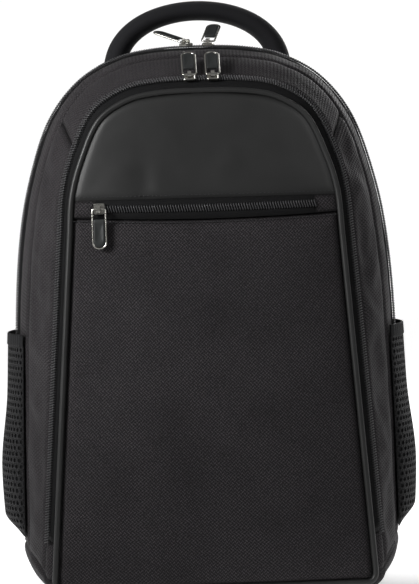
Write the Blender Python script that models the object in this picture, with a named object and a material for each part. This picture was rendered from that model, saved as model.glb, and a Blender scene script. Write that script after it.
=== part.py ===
"""Laptop backpack with two zipped compartments, a flat front pocket and mesh side pockets.

Metres, +Z up, the front face towards -Y. The bag stands on its base at the origin.
"""

import math
from collections import namedtuple
from functools import lru_cache

import bmesh
import bpy
from mathutils import Matrix, Vector

# Bag body
BODY_WIDTH = 0.320
BODY_HEIGHT = 0.448
BODY_DEPTH = 0.168
HEAD_DEPTH = 0.146
PANEL_WIDTH = 0.278
PANEL_HEIGHT = 0.417
CORNER_RADIUS = 0.036
BASE_LIFT = 0.005
CROWN = 0.015
SEAM_GAP = 0.0003

# Cloth, padding and piping
CLOTH = 0.0024
PANEL_CLOTH = 0.0022
DIVIDER_CLOTH = 0.0016
BACK_PADDING = 0.008
BACK_ROUNDING = 0.005
PIPING_RADIUS = 0.0016
PIPING_SINK = 0.0006

# Zips: the main one's depth from the back edge, widths, and heights of their ends above the base
MAIN_ZIP_DEPTH = 0.064
MAIN_ZIP_WIDTH = 0.016
MAIN_ZIP_END_HEIGHT = 0.150
FRONT_ZIP_WIDTH = 0.017
FRONT_ZIP_END_HEIGHT = 0.048
ZIP_CLOTH = 0.0018
SHOULDER_REACH = 0.118

# Front pocket
POCKET_ZIP_TOP = 0.323
POCKET_ZIP_HEIGHT = 0.014
POCKET_ZIP_SAG = 0.003
POCKET_TAB_LENGTH = 0.018

# Mesh side pockets
SIDE_POCKET_TOP = 0.211
SIDE_POCKET_BOTTOM = 0.043
SIDE_POCKET_FRONT_INSET = 0.006
SIDE_POCKET_REAR_INSET = 0.006
SIDE_POCKET_BULGE = 0.0128
SIDE_POCKET_SEAT = 0.0009
NET_THICKNESS = 0.0012
BAND_HEIGHT = 0.010
BAND_THICKNESS = 0.0016

# Grab handle
HANDLE_SPAN = 0.141
HANDLE_RISE = 0.0366
HANDLE_THICKNESS = 0.0166
HANDLE_DEPTH = 0.024
HANDLE_BACK_OFFSET = 0.016
HANDLE_FOOT_SWELL = 1.18
ANCHOR_LENGTH = 0.030
ANCHOR_DEPTH = 0.026
ANCHOR_CLOTH = 0.0022

# Shoulder straps
YOKE_WIDTH = 0.176
YOKE_HEIGHT = 0.036
YOKE_THICKNESS = 0.006
YOKE_DROP = 0.010
STRAP_WIDTH = 0.064
STRAP_THICKNESS = 0.011
STRAP_LENGTH = 0.262
STRAP_TOP_SPREAD = 0.050
STRAP_END_SPREAD = 0.096
STRAP_BOW = 0.030
ADJUSTER_WIDTH = 0.036
ADJUSTER_HEIGHT = 0.026
ADJUSTER_THICKNESS = 0.004
ADJUSTER_BAR = 0.004
WEBBING_WIDTH = 0.025
WEBBING_THICKNESS = 0.0018
ANCHOR_TAB_HEIGHT = 0.030
ANCHOR_TAB_WIDTH = 0.034
ANCHOR_TAB_SPREAD = 0.112
ANCHOR_TAB_RISE = 0.016

# Sliders and pulls
SLIDER_LENGTH = 0.0088
SLIDER_WIDTH = 0.0090
SLIDER_HEIGHT = 0.0030
SLIDER_EDGE = 0.0007
BRIDGE_LENGTH = 0.0066
BRIDGE_WIDTH = 0.0030
BRIDGE_WALL = 0.0011
WIRE_RADIUS = 0.0008
WIRE_CLEARANCE = 0.0004
PULL_LENGTH = 0.0330
PULL_WIDTH = 0.0126
PULL_NEAR_RADIUS = 0.0022
PULL_FAR_RADIUS = 0.0050
INSERT_START = 0.0085
INSERT_THICKNESS = 0.0024
INSERT_GAP = 0.0002
PULL_REST = 0.0006
PULL_REST_PLACES = 6

# Where the sliders stand, across the bag
FRONT_SLIDER_X = 0.0095
FRONT_SLIDER_PLACE = 0.36
MAIN_SLIDER_LEFT_X = -0.0100
MAIN_SLIDER_RIGHT_X = 0.0085
POCKET_SLIDER_X = -0.0860

# How the pulls lie: tilts above the zip, and headings from the right towards the back, in degrees
POCKET_PULL_TILT = 0.0
MainPull = namedtuple("MainPull", "label reach heading tilt")
MAIN_PULLS = (
    MainPull("main_left", MAIN_SLIDER_LEFT_X, 142.0, 14.0),
    MainPull("main_right", MAIN_SLIDER_RIGHT_X, 78.0, 20.0),
)

# Turns round a section: 0 at the top centre, then the ends of the lower corner and the base centre
CORNER_TOP = 1.0
CORNER_FOOT = 2.0
BASE_CENTRE = 3.0
CORNER_STEPS = 6
ROUND_STEPS = 43

# Half outlines from the top centre down, as shares of half the width and of the height
OutlineRow = namedtuple("OutlineRow", "width height")
BODY_OUTLINE = (
    OutlineRow(0.000, 1.000),
    OutlineRow(0.240, 0.996),
    OutlineRow(0.440, 0.980),
    OutlineRow(0.640, 0.938),
    OutlineRow(0.800, 0.864),
    OutlineRow(0.905, 0.755),
    OutlineRow(0.965, 0.645),
    OutlineRow(0.996, 0.500),
    OutlineRow(1.000, 0.300),
    OutlineRow(1.000, 0.000),
)
PANEL_OUTLINE = (
    OutlineRow(0.000, 1.000),
    OutlineRow(0.275, 0.997),
    OutlineRow(0.470, 0.983),
    OutlineRow(0.645, 0.944),
    OutlineRow(0.757, 0.868),
    OutlineRow(0.822, 0.795),
    OutlineRow(0.846, 0.700),
    OutlineRow(0.890, 0.500),
    OutlineRow(0.950, 0.230),
    OutlineRow(1.000, 0.000),
)

# Sections through the bag from the back edge to the front edge. The first two columns are shares
# of the depth at the foot and at the head; panel says how far the outline has become the panel's.
Section = namedtuple("Section", "foot head panel width height corner lift")
SECTIONS = (
    Section(foot=0.00, head=0.00, panel=0.00, width=0.965, height=0.982, corner=0.80, lift=0.00),
    Section(foot=0.12, head=0.12, panel=0.00, width=0.992, height=0.996, corner=0.95, lift=0.00),
    Section(foot=0.28, head=0.28, panel=0.00, width=1.000, height=1.000, corner=1.00, lift=0.00),
    Section(foot=0.64, head=0.64, panel=0.26, width=1.000, height=1.000, corner=0.85, lift=0.00),
    Section(foot=0.92, head=0.92, panel=0.88, width=1.000, height=1.000, corner=0.40, lift=0.00),
    Section(foot=1.00, head=1.00, panel=1.00, width=0.952, height=0.984, corner=0.22, lift=1.00),
)
SEAM_SHARE = 0.64

# How far the front face stands out, as a share of the crown, at shares of the height
CrownRow = namedtuple("CrownRow", "height crown")
CROWN_ROWS = (
    CrownRow(0.00, 0.10),
    CrownRow(0.10, 0.75),
    CrownRow(0.28, 1.00),
    CrownRow(0.55, 0.85),
    CrownRow(0.78, 0.60),
    CrownRow(0.93, 0.28),
    CrownRow(1.00, 0.00),
)
CROWN_SIDE_POWER = 2.6

# How far the side pocket stands off, as a share of its bulge, at shares of its height from the top
PocketRow = namedtuple("PocketRow", "drop bulge")
POCKET_ROWS = (
    PocketRow(0.00, 0.46),
    PocketRow(0.30, 0.62),
    PocketRow(0.68, 1.00),
    PocketRow(0.88, 0.72),
    PocketRow(1.00, 0.00),
)
POCKET_SIDE_POWER = 0.55

# Yoke from its top edge down: shares of its height and width
YokeRow = namedtuple("YokeRow", "drop width")
YOKE_SHAPE = (
    YokeRow(0.00, 0.72),
    YokeRow(0.25, 0.90),
    YokeRow(0.60, 1.00),
    YokeRow(1.00, 1.00),
)

# Shoulder strap from its top end down: shares of its length, bow, spread and width
StrapRow = namedtuple("StrapRow", "drop bow spread width")
STRAP_ROWS = (
    StrapRow(0.00, 0.00, 0.00, 0.92),
    StrapRow(0.10, 0.34, 0.00, 0.96),
    StrapRow(0.24, 0.76, 0.06, 1.00),
    StrapRow(0.42, 1.00, 0.26, 1.00),
    StrapRow(0.60, 0.96, 0.52, 0.98),
    StrapRow(0.78, 0.72, 0.78, 0.90),
    StrapRow(0.92, 0.44, 0.94, 0.74),
    StrapRow(1.00, 0.30, 1.00, 0.58),
)

# Colours as the photograph shows them: linear red, green and blue, roughness and metallic
Finish = namedtuple("Finish", "colour roughness metallic")
FINISHES = {
    "fabric": Finish((0.022, 0.021, 0.023), 0.82, 0.0),
    "leather": Finish((0.036, 0.036, 0.037), 0.48, 0.0),
    "tape": Finish((0.011, 0.011, 0.012), 0.70, 0.0),
    "mesh": Finish((0.014, 0.014, 0.015), 0.75, 0.0),
    "padding": Finish((0.018, 0.018, 0.020), 0.78, 0.0),
    "webbing": Finish((0.013, 0.013, 0.014), 0.72, 0.0),
    "metal": Finish((0.62, 0.60, 0.56), 0.28, 1.0),
    "rubber": Finish((0.022, 0.024, 0.024), 0.42, 0.0),
    "plastic": Finish((0.012, 0.012, 0.013), 0.40, 0.0),
}


def clear_scene():
    """Remove every object that the file opened with."""
    for thing in list(bpy.data.objects):
        bpy.data.objects.remove(thing, do_unlink=True)


def make_materials():
    """One plain material for each finish."""
    made = {}
    for name, finish in FINISHES.items():
        material = bpy.data.materials.new(name)
        material.use_nodes = True
        shader = material.node_tree.nodes["Principled BSDF"]
        shader.inputs["Base Color"].default_value = (*finish.colour, 1.0)
        shader.inputs["Roughness"].default_value = finish.roughness
        shader.inputs["Metallic"].default_value = finish.metallic
        made[name] = material
    return made


def mix(first, second, share):
    """Value between two values."""
    return first + (second - first) * share


def spread(first, last, count):
    """Evenly spaced values from first to last."""
    return [mix(first, last, index / (count - 1)) for index in range(count)]


def ease_through(places, values, place):
    """Smooth value at a place that never swings past the values beside it."""
    last = len(places) - 2
    index = 0
    while index < last and place > places[index + 1]:
        index += 1
    steps = [(values[i + 1] - values[i]) / (places[i + 1] - places[i]) for i in range(len(places) - 1)]

    def slope(knot):
        if knot == 0 or knot == len(places) - 1:
            return steps[min(knot, len(steps) - 1)]
        before, after = steps[knot - 1], steps[knot]
        if before * after <= 0.0:
            return 0.0
        return 2.0 * before * after / (before + after)

    width = places[index + 1] - places[index]
    share = (place - places[index]) / width
    start = values[index] * (1 + 2 * share) * (1 - share) ** 2
    start += slope(index) * width * share * (1 - share) ** 2
    finish = values[index + 1] * share ** 2 * (3 - 2 * share)
    finish -= slope(index + 1) * width * share ** 2 * (1 - share)
    return start + finish


def read_rows(rows, key, column, place):
    """Smooth value of one column of a table at a place along another column."""
    places = [getattr(row, key) for row in rows]
    values = [getattr(row, column) for row in rows]
    return ease_through(places, values, place)


def smooth_curve(points, steps=12):
    """Points on a smooth curve through points, with a level start."""
    before = Vector((-points[1].x, points[1].y))
    after = points[-1] * 2 - points[-2]
    knots = [before, *points, after]
    curve = []
    for index in range(1, len(knots) - 2):
        a, b, c, d = knots[index - 1:index + 3]
        for step in range(steps):
            t = step / steps
            bend = (a * 2 - b * 5 + c * 4 - d) * t ** 2 + (b * 3 - a - c * 3 + d) * t ** 3
            curve.append((b * 2 + (c - a) * t + bend) * 0.5)
    curve.append(points[-1])
    return curve


def measured(points):
    """A curve's points with the length of the curve up to each."""
    lengths = [0.0]
    for before, after in zip(points, points[1:]):
        lengths.append(lengths[-1] + (after - before).length)
    return points, lengths


def point_along(curve, share):
    """Point at a share of a measured curve's length."""
    points, lengths = curve
    wanted = min(max(share, 0.0), 1.0) * lengths[-1]
    index = 0
    while index < len(lengths) - 2 and wanted > lengths[index + 1]:
        index += 1
    part = (wanted - lengths[index]) / (lengths[index + 1] - lengths[index])
    return points[index].lerp(points[index + 1], part)


@lru_cache(maxsize=None)
def half_section(share):
    """The right half of a section as three curves: top and side, lower corner, base."""
    panel = read_rows(SECTIONS, "foot", "panel", share)
    half_width = mix(BODY_WIDTH, PANEL_WIDTH, panel) / 2 * read_rows(SECTIONS, "foot", "width", share)
    height = mix(BODY_HEIGHT, PANEL_HEIGHT, panel) * read_rows(SECTIONS, "foot", "height", share)
    radius = CORNER_RADIUS * read_rows(SECTIONS, "foot", "corner", share)
    lift = BASE_LIFT * read_rows(SECTIONS, "foot", "lift", share)
    rows = [
        Vector((mix(body.width, front.width, panel) * half_width, mix(body.height, front.height, panel) * height))
        for body, front in zip(BODY_OUTLINE, PANEL_OUTLINE)
    ]
    corner_height = lift + radius
    side = [point for point in smooth_curve(rows) if point.y > corner_height]
    foot = side[-1]
    side.append(Vector((foot.x, corner_height)))
    corner = [
        Vector((foot.x - radius + radius * math.cos(angle), corner_height - radius * math.sin(angle)))
        for angle in spread(0.0, math.pi / 2, 9)
    ]
    base = [corner[-1], Vector((0.0, lift))]
    return measured(side), measured(corner), measured(base)


def depth_at(share, height):
    """Y of the skin at a depth share and a height: the bag is deeper at its foot."""
    foot = BODY_DEPTH / 2 - share * BODY_DEPTH
    head_share = read_rows(SECTIONS, "foot", "head", share)
    head = BODY_DEPTH / 2 - head_share * HEAD_DEPTH
    return mix(foot, head, height / BODY_HEIGHT)


def skin_point(turn, share):
    """Point on the skin. Turn 0 is the top centre, 1 and 2 the ends of the corner, 3 the base centre."""
    turn = min(max(turn, -BASE_CENTRE), BASE_CENTRE)
    share = min(max(share, 0.0), 1.0)
    curves = half_section(round(share, 5))
    part = min(int(abs(turn)), 2)
    flat = point_along(curves[part], abs(turn) - part)
    return Vector((math.copysign(flat.x, turn), depth_at(share, flat.y), flat.y))


def skin(turn, share, inward=0.0):
    """Point at a depth below the skin, along the direction that all pieces there share."""
    nudge = 0.004
    along = skin_point(turn + nudge, share) - skin_point(turn - nudge, share)
    across = skin_point(turn, share + nudge) - skin_point(turn, share - nudge)
    return skin_point(turn, share) + along.cross(across).normalized() * inward


def inward_at(turn, share):
    """Unit direction into the bag at a place on the skin."""
    return (skin(turn, share, 1.0) - skin(turn, share)).normalized()


def turn_at_height(share, height):
    """Turn between the top centre and the lower corner at which the skin has a height."""
    low, high = 0.0, CORNER_TOP
    for _ in range(30):
        middle = (low + high) / 2
        if skin_point(middle, share).z > height:
            low = middle
        else:
            high = middle
    return (low + high) / 2


def turn_at_reach(share, reach):
    """Turn over the top at which the skin has a distance from the middle of the bag."""
    low, high = -CORNER_TOP / 2, CORNER_TOP / 2
    for _ in range(30):
        middle = (low + high) / 2
        if skin_point(middle, share).x < reach:
            low = middle
        else:
            high = middle
    return (low + high) / 2


def add_object(name, mesh, material, smooth=True):
    """Put a finished mesh into the model."""
    if smooth:
        mesh.shade_smooth()
        mesh.set_sharp_from_angle(angle=math.radians(40))
    thing = bpy.data.objects.new(name, mesh)
    thing.data.materials.clear()
    thing.data.materials.append(MATERIALS[material])
    MODEL.objects.link(thing)
    return thing


def loft(name, outer, inner, material):
    """Closed wall between two grids of points with the same rows and columns."""
    build = bmesh.new()
    faces_of = []
    for grid in (outer, inner):
        faces_of.append([[build.verts.new(point) for point in row] for row in grid])
    rows, columns = len(outer), len(outer[0])
    for grid in faces_of:
        for row in range(rows - 1):
            for column in range(columns - 1):
                build.faces.new((grid[row][column], grid[row + 1][column],
                                 grid[row + 1][column + 1], grid[row][column + 1]))
    rim = [(0, column) for column in range(columns)]
    rim += [(row, columns - 1) for row in range(1, rows)]
    rim += [(rows - 1, column) for column in range(columns - 2, -1, -1)]
    rim += [(row, 0) for row in range(rows - 2, 0, -1)]
    front, back = faces_of
    for here, there in zip(rim, rim[1:] + rim[:1]):
        build.faces.new((front[here[0]][here[1]], front[there[0]][there[1]],
                         back[there[0]][there[1]], back[here[0]][here[1]]))
    bmesh.ops.recalc_face_normals(build, faces=build.faces)
    mesh = bpy.data.meshes.new(name)
    build.to_mesh(mesh)
    build.free()
    return add_object(name, mesh, material)


def wall(name, turns, shares, thickness, material, outward=0.0):
    """Piece of the bag's skin between turns and depth shares."""
    outer = [[skin(turn, share, -outward) for share in shares] for turn in turns]
    inner = [[skin(turn, share, thickness - outward) for share in shares] for turn in turns]
    return loft(name, outer, inner, material)


def between_seams(start, end, count):
    """Depth shares from one seam to the next, held back by half the seam's gap at both."""
    hold = SEAM_GAP / 2 / BODY_DEPTH
    return spread(start + hold, end - hold, count)


def shared_turns():
    """Turns over the top that all pieces of the skin are cut at."""
    return spread(-CORNER_TOP, CORNER_TOP, ROUND_STEPS)


def right_turns():
    """The shared turns of the right half, from the top centre down and round the lower corner."""
    middle = ROUND_STEPS // 2
    return shared_turns()[middle:] + spread(CORNER_TOP, CORNER_FOOT, CORNER_STEPS)[1:]


def held_turns(start, end, *beside):
    """Turns from one seam to the next: those that all strips share, any beside, and the held back ends."""
    hold = SEAM_GAP / 2 / BODY_HEIGHT
    shared = shared_turns()
    spacing = (shared[1] - shared[0]) / 3
    inside = [turn for turn in shared if start + spacing < turn < end - spacing]
    for turn in beside:
        inside = [other for other in inside if abs(other - turn) > spacing] + [turn]
    return [start + hold, *sorted(inside), end - hold]


def front_zip_share(part):
    """Depth share at a part of the front zip's width, from its rear edge to the front edge."""
    return 1.0 - (1.0 - part) * FRONT_ZIP_WIDTH / BODY_DEPTH


def strip_shares():
    """Depth shares of the strips round the bag, from the back edge to the piping."""
    rear_edge = (MAIN_ZIP_DEPTH - MAIN_ZIP_WIDTH / 2) / BODY_DEPTH
    front_edge = (MAIN_ZIP_DEPTH + MAIN_ZIP_WIDTH / 2) / BODY_DEPTH
    zip_rear = front_zip_share(0.0)
    piping_edge = 1.0 - (PIPING_RADIUS + SEAM_GAP / 2) / BODY_DEPTH
    return {
        "rear": between_seams(0.0, rear_edge, 3),
        "main_zip": between_seams(rear_edge, front_edge, 2),
        "front": between_seams(front_edge, SEAM_SHARE, 3),
        "compartment": between_seams(SEAM_SHARE, zip_rear, 4),
        "front_zip": between_seams(zip_rear + SEAM_GAP / 2 / BODY_DEPTH, piping_edge, 3),
    }


def make_gussets():
    """Cloth walls, zip tapes and tabs that run round the top and sides."""
    strips = strip_shares()
    round_top = held_turns(-CORNER_TOP, CORNER_TOP)
    wall("main_gusset_rear", round_top, strips["rear"], CLOTH, "fabric")
    wall("main_gusset_front", round_top, strips["front"], CLOTH, "fabric")
    zip_end = turn_at_height(MAIN_ZIP_DEPTH / BODY_DEPTH, MAIN_ZIP_END_HEIGHT)
    tape = strips["main_zip"]
    wall("main_zip", held_turns(-zip_end, zip_end), tape, ZIP_CLOTH, "tape")
    wall("main_zip_tab_left", held_turns(-CORNER_TOP, -zip_end), tape, CLOTH, "fabric")
    wall("main_zip_tab_right", held_turns(zip_end, CORNER_TOP), tape, CLOTH, "fabric")

    shoulder = turn_at_reach(SEAM_SHARE, SHOULDER_REACH)
    depth = strips["compartment"]
    wall("front_gusset_top", held_turns(-shoulder, shoulder), depth, CLOTH, "fabric")
    zip_end = turn_at_height(front_zip_share(0.0), FRONT_ZIP_END_HEIGHT)
    wall("front_gusset_left", held_turns(-CORNER_TOP, -shoulder, -zip_end), depth, CLOTH, "fabric")
    wall("front_gusset_right", held_turns(shoulder, CORNER_TOP, zip_end), depth, CLOTH, "fabric")
    tape = strips["front_zip"]
    wall("front_zip", held_turns(-zip_end, zip_end), tape, ZIP_CLOTH, "tape")
    wall("front_zip_tab_left", held_turns(-CORNER_TOP, -zip_end), tape, CLOTH, "fabric")
    wall("front_zip_tab_right", held_turns(zip_end, CORNER_TOP), tape, CLOTH, "fabric")


def make_bottom_panel():
    """Base with the two lower corners, cut at the same depths as the strips above it."""
    smallest_corner = CORNER_RADIUS * SECTIONS[-1].corner * math.pi / 2
    hold = SEAM_GAP / 2 / smallest_corner
    half = spread(CORNER_TOP + hold, CORNER_FOOT, CORNER_STEPS) + spread(CORNER_FOOT, BASE_CENTRE, 3)[1:-1]
    turns = [-turn for turn in half] + [BASE_CENTRE] + half[::-1]
    strips = list(strip_shares().values())
    shares = strips[0][:]
    for strip in strips[1:]:
        shares += strip[1:]
    wall("bottom_panel", turns, shares, CLOTH, "fabric")


def plate(name, turns, share, inset, back_y, front_y, columns, material, rounding=0.0):
    """Flat-lying panel across the bag, whose rows join the left and right sides of a section."""
    outer = []
    inner = []
    for turn in turns:
        left, right = skin(-turn, share, inset), skin(turn, share, inset)
        left_face, right_face = skin(-turn, share, inset + rounding), skin(turn, share, inset + rounding)
        outer.append([])
        inner.append([])
        for part in spread(0.0, 1.0, columns):
            point = left.lerp(right, part)
            face = left_face.lerp(right_face, part)
            outer[-1].append(Vector((face.x, depth_at(share, face.z) + front_y, face.z)))
            inner[-1].append(Vector((point.x, depth_at(share, point.z) + back_y, point.z)))
    return loft(name, outer, inner, material)


def make_back_and_divider():
    """Padded back panel, and the cloth wall between the two compartments."""
    turns = right_turns()[1:]
    plate("back_panel", turns, 0.0, 0.0, SEAM_GAP / 2, BACK_PADDING, 5, "padding", BACK_ROUNDING)
    behind_seam = CLOTH
    plate("divider_panel", turns, SEAM_SHARE, CLOTH + SEAM_GAP * 3, behind_seam,
          behind_seam + DIVIDER_CLOTH, 2, "fabric")


@lru_cache(maxsize=None)
def face_outline(inset):
    """Right half of the front face's outline, moved in by a distance."""
    points = []
    for turn in right_turns():
        flat = skin_point(turn, 1.0)
        along = skin_point(turn + 0.003, 1.0) - skin_point(turn - 0.003, 1.0)
        normal = Vector((-along.z, along.x)).normalized()
        points.append(Vector((flat.x, flat.z)) - normal * inset)
    return points


def half_width_at(height, inset):
    """Half width of the front face at a height."""
    points = face_outline(inset)
    for upper, lower in zip(points, points[1:]):
        if lower.y <= height <= upper.y:
            return mix(lower.x, upper.x, (height - lower.y) / (upper.y - lower.y))
    return points[-1].x


def face_point(across, height, half_width, depth=0.0):
    """Point on the crowned front face, at a share across it and a depth below its surface."""
    crown = CROWN * read_rows(CROWN_ROWS, "height", "crown", height / PANEL_HEIGHT)
    bulge = crown * (1.0 - abs(across) ** CROWN_SIDE_POWER)
    return Vector((across * half_width, depth_at(1.0, height) - PANEL_CLOTH / 2 - bulge + depth, height))


def face_panel(name, low, high, parts, columns, material, thickness=PANEL_CLOTH):
    """Panel of the front face between two edges, each a height for a share across."""
    inset = PIPING_RADIUS + PIPING_SINK + SEAM_GAP
    outer = []
    inner = []
    for part in parts:
        places = []
        for across in columns:
            height = mix(low(across), high(across), part)
            places.append((across, height, half_width_at(height, inset)))
        outer.append([face_point(*place) for place in places])
        inner.append([face_point(*place, thickness) for place in places])
    return loft(name, outer, inner, material)


def pocket_zip_low(across):
    """Height of the pocket zip's lower edge, which sags in the middle."""
    return POCKET_ZIP_TOP - POCKET_ZIP_HEIGHT - POCKET_ZIP_SAG * (1.0 - across ** 2)


def make_upper_panel():
    """Smooth panel above the front pocket, whose rows follow the rounded outline."""
    inset = PIPING_RADIUS + PIPING_SINK + SEAM_GAP
    outline = measured([point for point in face_outline(inset) if point.y > POCKET_ZIP_TOP + SEAM_GAP])
    outer = []
    inner = []
    for part in spread(0.06, 1.0, 13):
        place = point_along(outline, part)
        height = place.y if part < 1.0 else POCKET_ZIP_TOP + SEAM_GAP / 2
        outer.append([face_point(across, height, place.x) for across in spread(-1.0, 1.0, 13)])
        inner.append([face_point(across, height, place.x, PANEL_CLOTH) for across in spread(-1.0, 1.0, 13)])
    loft("upper_panel", outer, inner, "leather")


def make_front_face():
    """Upper panel, pocket zip with its end tabs, lower panel and the piping round them."""
    make_upper_panel()
    half = SEAM_GAP / 2
    tab = 1.0 - POCKET_TAB_LENGTH / half_width_at(POCKET_ZIP_TOP, 0.0)
    hold = half / half_width_at(POCKET_ZIP_TOP, 0.0)

    def zip_low(across):
        return pocket_zip_low(across) + half

    def zip_high(across):
        return POCKET_ZIP_TOP - half

    rows = spread(0.0, 1.0, 3)
    face_panel("pocket_zip", zip_low, zip_high, rows, spread(-tab + hold, tab - hold, 11), "tape", ZIP_CLOTH)
    face_panel("pocket_zip_tab_left", zip_low, zip_high, rows, spread(-1.0, -tab - hold, 3), "fabric")
    face_panel("pocket_zip_tab_right", zip_low, zip_high, rows, spread(tab + hold, 1.0, 3), "fabric")
    foot = BASE_LIFT + PIPING_RADIUS + PIPING_SINK + SEAM_GAP
    corner = CORNER_RADIUS * SECTIONS[-1].corner / POCKET_ZIP_TOP
    rows = spread(0.0, corner, 4) + spread(corner, 1.0, 10)[1:]
    face_panel("lower_panel", lambda across: foot, lambda across: pocket_zip_low(across) - half,
               rows, spread(-1.0, 1.0, 13), "fabric")

    turns = right_turns() + [BASE_CENTRE]
    loop = turns + [-turn for turn in turns[-2:0:-1]]
    wire("front_piping", [skin(turn, 1.0, PIPING_SINK) for turn in loop], PIPING_RADIUS, "tape", True)


def wire(name, points, radius, material, closed=False, swell=None):
    """Round bar along points, as a mesh with welded ends."""
    curve = bpy.data.curves.new(name, "CURVE")
    curve.dimensions = "3D"
    curve.bevel_depth = radius
    curve.bevel_resolution = 1
    curve.use_fill_caps = True
    curve.render_resolution_u = 0
    spline = curve.splines.new("POLY")
    spline.points.add(len(points) - 1)
    for index, point in enumerate(points):
        spline.points[index].co = (*point, 1.0)
        spline.points[index].radius = swell[index] if swell else 1.0
    spline.use_cyclic_u = closed
    return mesh_from_curve(name, curve, material)


def mesh_from_curve(name, curve, material):
    """Turn a curve into a closed mesh object."""
    carrier = bpy.data.objects.new(name + "_curve", curve)
    MODEL.objects.link(carrier)
    ready = carrier.evaluated_get(bpy.context.evaluated_depsgraph_get())
    mesh = bpy.data.meshes.new_from_object(ready)
    bpy.data.objects.remove(carrier, do_unlink=True)
    build = bmesh.new()
    build.from_mesh(mesh)
    bmesh.ops.remove_doubles(build, verts=build.verts, dist=0.000002)
    bmesh.ops.recalc_face_normals(build, faces=build.faces)
    build.to_mesh(mesh)
    build.free()
    mesh.name = name
    return add_object(name, mesh, material)


def pocket_point(side, back_to_front, drop, outward):
    """Point on a side pocket, which stands off the bag's side."""
    rear = SIDE_POCKET_REAR_INSET / BODY_DEPTH
    front = SEAM_SHARE - SIDE_POCKET_FRONT_INSET / BODY_DEPTH
    share = mix(rear, front, back_to_front)
    height = mix(SIDE_POCKET_TOP, SIDE_POCKET_BOTTOM, drop)
    belly = max(math.sin(math.pi * back_to_front), 0.0) ** POCKET_SIDE_POWER
    stand = SIDE_POCKET_BULGE * read_rows(POCKET_ROWS, "drop", "bulge", drop) * belly
    turn = turn_at_height(share, height)
    return skin(side * turn, share, -(SIDE_POCKET_SEAT + stand + outward))


def make_side_pocket(side, label):
    """Net pocket with its elastic band, on one side of the bag."""
    band = BAND_HEIGHT / (SIDE_POCKET_TOP - SIDE_POCKET_BOTTOM)
    gap = SEAM_GAP / (SIDE_POCKET_TOP - SIDE_POCKET_BOTTOM)
    across = spread(0.0, 1.0, 13)
    outer = [[pocket_point(side, part, drop, BAND_THICKNESS / 2) for part in across] for drop in (0.0, band)]
    inner = [[pocket_point(side, part, drop, -BAND_THICKNESS / 2) for part in across] for drop in (0.0, band)]
    loft("pocket_band_" + label, outer, inner, "webbing")

    drops = spread(band + gap, 1.0, 10)
    outer = [[pocket_point(side, part, drop, NET_THICKNESS / 2) for part in across] for drop in drops]
    inner = [[pocket_point(side, part, drop, -NET_THICKNESS / 2) for part in across] for drop in drops]
    loft("side_pocket_" + label, outer, inner, "mesh")


def make_handle():
    """Padded grab handle, cut off where it meets the tabs that hold it."""
    share = HANDLE_BACK_OFFSET / BODY_DEPTH
    foot_turn = turn_at_reach(share, HANDLE_SPAN / 2)
    seat = skin(foot_turn, share, -(ANCHOR_CLOTH + SEAM_GAP * 3))
    sink = HANDLE_THICKNESS
    rise = HANDLE_RISE + sink
    points = []
    swell = []
    for angle in spread(math.pi, 0.0, 25):
        height = seat.z - sink + rise * math.sin(angle) ** 0.8
        points.append(Vector((math.cos(angle) * HANDLE_SPAN / 2, 0.0, height)))
        swell.append(mix(HANDLE_FOOT_SWELL, 1.0, math.sin(angle)))
    handle = wire("grab_handle", points, HANDLE_THICKNESS / 2, "padding", False, swell)
    build = bmesh.new()
    build.from_mesh(handle.data)
    widen = HANDLE_DEPTH / HANDLE_THICKNESS
    for vert in build.verts:
        vert.co.y = vert.co.y * widen + seat.y
    for side in (-1, 1):
        inward = inward_at(side * foot_turn, share)
        point = skin(side * foot_turn, share, -(ANCHOR_CLOTH + SEAM_GAP * 3))
        foot = {vert for vert in build.verts if vert.co.x * side > HANDLE_SPAN * 0.3}
        geometry = list(foot)
        geometry += [edge for edge in build.edges if foot.issuperset(edge.verts)]
        geometry += [face for face in build.faces if foot.issuperset(face.verts)]
        cut = bmesh.ops.bisect_plane(build, geom=geometry, plane_co=point, plane_no=inward,
                                     clear_outer=True, dist=0.00001)
        edges = [item for item in cut["geom_cut"] if isinstance(item, bmesh.types.BMEdge)]
        bmesh.ops.edgeloop_fill(build, edges=edges)
    bmesh.ops.recalc_face_normals(build, faces=build.faces)
    build.to_mesh(handle.data)
    build.free()

    half_turn = ANCHOR_LENGTH / 2 / BODY_HEIGHT
    half_depth = ANCHOR_DEPTH / 2 / BODY_DEPTH
    rear_edge = max(share - half_depth, SEAM_GAP / BODY_DEPTH)
    shares = sorted([rear_edge, share, strip_shares()["rear"][1], share + half_depth])
    for side, label in ((-1, "left"), (1, "right")):
        turns = spread(side * foot_turn - half_turn, side * foot_turn + half_turn, 4)
        outward = SEAM_GAP * 2 + ANCHOR_CLOTH
        wall("handle_anchor_" + label, turns, shares, ANCHOR_CLOTH, "webbing", outward)


def ribbon(name, centres, across, widths, thickness, material):
    """Flat padded band: rounded sections along a route, all wide in one direction."""
    outer = []
    inner = []
    for index, centre in enumerate(centres):
        before = centres[max(index - 1, 0)]
        after = centres[min(index + 1, len(centres) - 1)]
        out = (after - before).cross(across).normalized()
        half = widths[index] / 2
        edge = thickness * 0.32
        outer.append([])
        inner.append([])
        for part, fullness in ((-1.0, 0.45), (-1.0 + edge / half, 1.0), (0.0, 1.0), (1.0 - edge / half, 1.0),
                               (1.0, 0.45)):
            side = centre + across * (part * half)
            outer[-1].append(side + out * (fullness * thickness / 2))
            inner[-1].append(side - out * (fullness * thickness / 2))
    return loft(name, outer, inner, material)


def back_face(height):
    """Y of the back panel's outer face at a height."""
    return depth_at(0.0, height) + BACK_PADDING


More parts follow.
